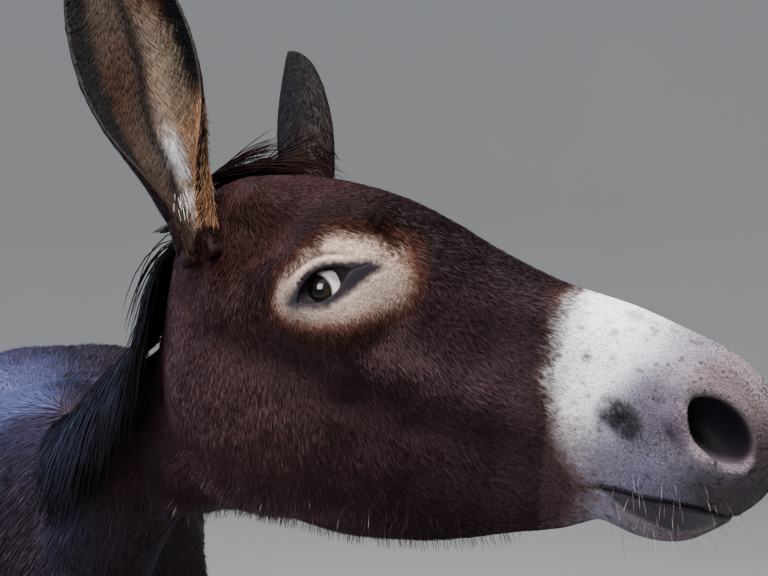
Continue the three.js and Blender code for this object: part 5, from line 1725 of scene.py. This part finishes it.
def head_side(side, front=None):
    """The share of hair on one side of the head, behind the pale muzzle; its front or rear half if
    asked."""
    def part(p):
        h = to_head(p)
        near = within_head(h)
        x = h[:, 0]
        half = True if front is None else (x > 185) == front
        return near * half * (x + 0.15 * h[:, 2] > -40) * (x < 350) * (h[:, 1] * side > 0) * (
            1 + 0.4 * (np.linalg.norm(in_eye(h), axis=-1) < 60))
    return part


def on_muzzle(p):
    """The share of hair on the muzzle, which is densest on its right side."""
    h = to_head(p)
    return ((h[:, 0] > 342) & within_head(h)) * (1.0 + (h[:, 1] < 0))


def on_neck(p):
    """1 on the neck, from the head's rear to the withers."""
    h = to_head(p)
    near_head = within_head(h) & (h[:, 0] + 0.15 * h[:, 2] > -44)
    return 1.0 * (~near_head & (p[:, 0] + 0.25 * (p[:, 2] - 900) > 440) & (p[:, 2] > 760))


def trunk_half(front):
    """1 on the trunk's front or rear half, above the legs."""
    def part(p):
        rest = (on_neck(p) == 0) & (to_head(p)[:, 0] < -30) & (p[:, 2] > 600)
        return 1.0 * (rest & ((p[:, 0] > -40) == front))
    return part


def on_legs(p):
    """1 below the elbows and stifles."""
    return 1.0 * (p[:, 2] < 604)


def face_length(p):
    """Tufts grow from 4 mm round the eyes and at the muzzle to twice the face's length at the jaw's
    rear."""
    h = to_head(p)
    x, y, z = mirrored(h).T
    full = sizes().face_hair / MM
    short = sizes().muzzle_hair / MM
    long = full * (1 + 0.75 * ramp(-z, 20, 130) * (1 - ramp(x, 180, 330)) + 0.9 * (1 - ramp(x, -40, 50)))
    long = long * (1 - 0.35 * ramp(x, 250, 350))
    ring, _ = ring_share(mirrored(h))
    return long + (short - long) * ring * (y > 30)


def face_width(p):
    return 0.34 + 0.035 * face_length(p)


class DONKEY_OT_skin(bpy.types.Operator):
    """Builds the skin of body, head and ears in one piece, under the coat by its depth"""
    bl_idname = "donkey.skin"
    bl_label = "Skin"

    def execute(self, context):
        points, faces = whole_skin(sizes().skin_cell / MM)
        # the skin is painted darker than the coat on it (0.86, 0.85 on the ears, 0.7 on the dock): a painted
        # shade under the hair
        colours = [markings(points) * 0.86]
        bare = [bare_skin(points)]
        share = bare[0][:, None]
        # bare skin: black lifted to a bluish dark grey; on lips and lids that is the skin's own grey, inside
        # the nostrils it is a painted bluish light
        colours[0] = colours[0] * (1 - share) + tint("black") * [3.6, 3.2, 4.0] * share
        dock, dock_faces = dock_shell()
        colours.append(np.tile(tint("body") * 0.7, (len(dock), 1)))
        bare.append(np.zeros(len(dock)))
        skins, triangles, start = [points, dock], [faces, dock_faces + len(points)], len(points) + len(dock)
        haired = start
        for side in (1, -1):
            shell, shell_faces = ear_shell(side)
            t, k, wall = in_ear(to_head(shell), side)
            colours.append(ear_colour(side, np.clip(t, 0, 1), np.clip(k, -1, 1), wall > 0) * 0.85)
            bare.append(np.zeros(len(shell)))
            skins.append(shell)
            triangles.append(shell_faces + start)
            start += len(shell)
        skin = add_mesh("skin", np.concatenate(skins), np.concatenate(triangles), shared(donkey_skin),
                        np.concatenate(colours))
        skin[HAIRED] = haired
        skin.data.attributes.new("bare", "FLOAT", "POINT").data.foreach_set("value", np.concatenate(bare))
        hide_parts(*SOLIDS_UNDER_SKIN)
        return {"FINISHED"}


def even(size):
    """A length or width in mm that is the same everywhere."""
    return lambda p: np.full(len(p), size)


class DONKEY_OT_coat(bpy.types.Operator):
    """Covers the skin with tufts that follow the lie of the hair, in pieces of under 200,000 triangles"""
    bl_idname = "donkey.coat"
    bl_label = "Coat"

    def execute(self, context):
        coat = shared(short_coat)
        size = sizes()
        body = size.body_hair / MM
        low = size.leg_hair / MM
        pieces = [
            coat_piece("coat_head_right_rear", coat, head_side(-1, False), 47000, face_length, face_width,
                       head_unwrap),
            coat_piece("coat_head_right_front", coat, head_side(-1, True), 45000, face_length, face_width,
                       head_unwrap),
            coat_piece("coat_head_left", coat, head_side(1), 22000, face_length,
                       lambda p: 1.6 * face_width(p), head_unwrap),
            coat_piece("coat_muzzle", coat, on_muzzle, 48000, even(size.muzzle_hair / MM), even(0.44),
                       head_unwrap, (0.06, 0.02), 0.14, 9, 0.9),
            coat_piece("coat_neck", coat, on_neck, 30000, even(body), even(1.7), neck_unwrap,
                       (0.09, 0.045), 0.22, 34),
            coat_piece("coat_trunk_front", coat, trunk_half(True), 20000, even(1.15 * body), even(3.0),
                       trunk_unwrap, (0.10, 0.05), 0.24, 45),
            coat_piece("coat_trunk_rear", coat, trunk_half(False), 20000, even(1.15 * body), even(3.0),
                       trunk_unwrap, (0.10, 0.05), 0.24, 45),
            coat_piece("coat_legs", coat, on_legs, 22000,
                       lambda p: low + (body - low) * ramp(p[:, 2], 330, 604),
                       lambda p: 1.8 + 1.2 * ramp(p[:, 2], 330, 604), leg_unwrap, (0.08, 0.035), 0.18, 22),
            ear_coat(-1, "coat_ear_right", coat, 20000),
            ear_coat(1, "coat_ear_left", coat, 11000),
        ]
        return {"FINISHED"}


class DONKEY_OT_long_hair(bpy.types.Operator):
    """Hangs the mane, forelock, tail, ear hair, jaw fringe, whiskers and lashes"""
    bl_idname = "donkey.long_hair"
    bl_label = "Long hair"

    def execute(self, context):
        hair = shared(long_coat)
        replaced = {build_mane: ("mane",), build_forelock: ("forelock",), build_tail: ("tail_tassel",)}
        for build in (build_mane, build_forelock, build_tail, build_ear_hair, build_fringe, build_whiskers):
            piece = build(hair)
            if build in replaced:
                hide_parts(*replaced[build])
        return {"FINISHED"}


class DONKEY_OT_eyes(bpy.types.Operator):
    """Builds both eyeballs in their sockets"""
    bl_idname = "donkey.eyes"
    bl_label = "Eyes"

    def execute(self, context):
        for side, name in ((1, "left"), (-1, "right")):
            eye = build_eye(side, "eyeball_" + name, shared(wet_eye))
            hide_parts("eye_" + name)
        return {"FINISHED"}


class DONKEY_OT_hooves(bpy.types.Operator):
    """Builds the four hooves, flat on the floor"""
    bl_idname = "donkey.hooves"
    bl_label = "Hooves"

    def execute(self, context):
        for pair, toe, track, steps in (("fore", 440, T, FORE_STEP), ("hind", -510, T + 4, HIND_STEP)):
            for name, side, step in (("left", 1, steps[0]), ("right", -1, steps[1])):
                hoof = build_hoof(f"hoof_wall_{pair}_{name}", toe + step, track * side, shared(hoof_horn))
                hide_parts(f"hoof_{pair}_{name}")
        return {"FINISHED"}


class DONKEY_OT_stage(bpy.types.Operator):
    """Builds the paper floor, the soft lights and the camera"""
    bl_idname = "donkey.stage"
    bl_label = "Stage"

    def execute(self, context):
        scene = context.scene
        build_backdrop()
        light = scene.donkey_stage
        face, eye = placed(from_head((220, 0, 0))), placed(from_head(EYE * [1, -1, 1]))
        add_light("key_light", face + [0.50, -0.25, 1.5], face, 1.5, light.key, (1.0, 0.97, 0.95))
        add_light("fill_light", face + [1.5, -1.8, 0.6], face, 0.9, light.fill, (0.90, 0.95, 1.0))
        sky = add_light("cool_light", [-0.35, -1.05, 1.55], [-0.1, -0.2, 1.0], 0.8, light.sky,
                        (0.30, 0.48, 1.0))
        sky.data.spread = 0.95
        add_light("catch_light", [0.346, -1.046, 1.081], eye, 0.12, light.glint, (1.0, 1.0, 1.0))
        world = bpy.data.worlds.new("studio")
        world.use_nodes = True
        surround = world.node_tree.nodes["Background"].inputs
        surround["Color"].default_value = (*linear("dfe6f0"), 1)
        surround["Strength"].default_value = light.surround
        scene.world = world
        camera = bpy.data.cameras.new("camera")
        camera.lens, camera.sensor_width = CAMERA_LENS, CAMERA_SENSOR
        camera.clip_start, camera.clip_end = 0.02, 60
        holder = bpy.data.objects.new("camera", camera)
        scene.collection.objects.link(holder)
        ahead = HEAD_AXES @ unit(CAMERA_AHEAD)
        right = HEAD_AXES @ unit(CAMERA_RIGHT)
        axes = np.stack([right, np.cross(right, ahead), -ahead], 1)
        holder.matrix_world = (Matrix.Translation(Vector(placed(from_head(CAMERA_PLACE))))
                               @ Matrix(axes.tolist()).to_4x4())
        scene.camera = holder
        return {"FINISHED"}


def dock_shell():
    """The dock of the tail: a closed tube along its bones, from inside the rump to where the tassel
    hides it."""
    path = np.array([(-575, 1012), (-620, 1014), (-655, 990), (-678, 940), (-688, 860), (-692, 780),
                     (-690, 690), (-688, 640)], float)
    share = np.linspace(0, 1, 40)
    knots = np.linspace(0, 1, len(path))
    x, z = (curve(*zip(knots, column))(share) for column in path.T)
    radius = curve((0, 36), (0.25, 29), (0.6, 18), (1, 9))(share)
    slope_x, slope_z = np.gradient(x), np.gradient(z)
    size = np.hypot(slope_x, slope_z)
    normal = np.stack([-slope_z / size, 0 * size, slope_x / size], -1)
    turn = np.linspace(0, 2 * np.pi, 32, endpoint=False)
    middle = np.stack([x, 0 * x, z], -1)
    points = (middle[:, None] + radius[:, None, None]
              * (np.cos(turn)[:, None] * normal[:, None] + np.sin(turn)[:, None] * np.array([0, 1.0, 0])))
    points = np.concatenate([points.reshape(-1, 3), middle[:1], middle[-1:]])
    return points, facing_out(points, tube_faces(len(share), 32))


OPERATORS = (DONKEY_OT_skin, DONKEY_OT_eyes, DONKEY_OT_hooves, DONKEY_OT_coat, DONKEY_OT_long_hair,
             DONKEY_OT_stage)


class DONKEY_PT_panel(bpy.types.Panel):
    """Sizes, colours and lights of the donkey, and its operators in order"""
    bl_idname = "DONKEY_PT_panel"
    bl_label = "Donkey"
    bl_space_type = "VIEW_3D"
    bl_region_type = "UI"
    bl_category = "Donkey"

    def draw(self, context):
        for group in (context.scene.donkey_sizes, context.scene.donkey_colours, context.scene.donkey_stage):
            box = self.layout.box()
            for name in group.__annotations__:
                box.prop(group, name)
        for operator in OPERATORS:
            self.layout.operator(operator.bl_idname)


GROUPS = {"donkey_sizes": DonkeySizes, "donkey_colours": DonkeyColours, "donkey_stage": DonkeyStage}


def register():
    for kind in (*GROUPS.values(), *OPERATORS, DONKEY_PT_panel):
        bpy.utils.register_class(kind)
    for name, group in GROUPS.items():
        setattr(bpy.types.Scene, name, PointerProperty(type=group))


def unregister():
    for name in GROUPS:
        delattr(bpy.types.Scene, name)
    for kind in (DONKEY_PT_panel, *reversed(OPERATORS), *GROUPS.values()):
        bpy.utils.unregister_class(kind)


def main():
    register()
    bpy.ops.donkey.skin()
    bpy.ops.donkey.eyes()
    bpy.ops.donkey.hooves()
    bpy.ops.donkey.coat()
    bpy.ops.donkey.long_hair()
    bpy.ops.donkey.stage()


if __name__ == "__main__":
    main()
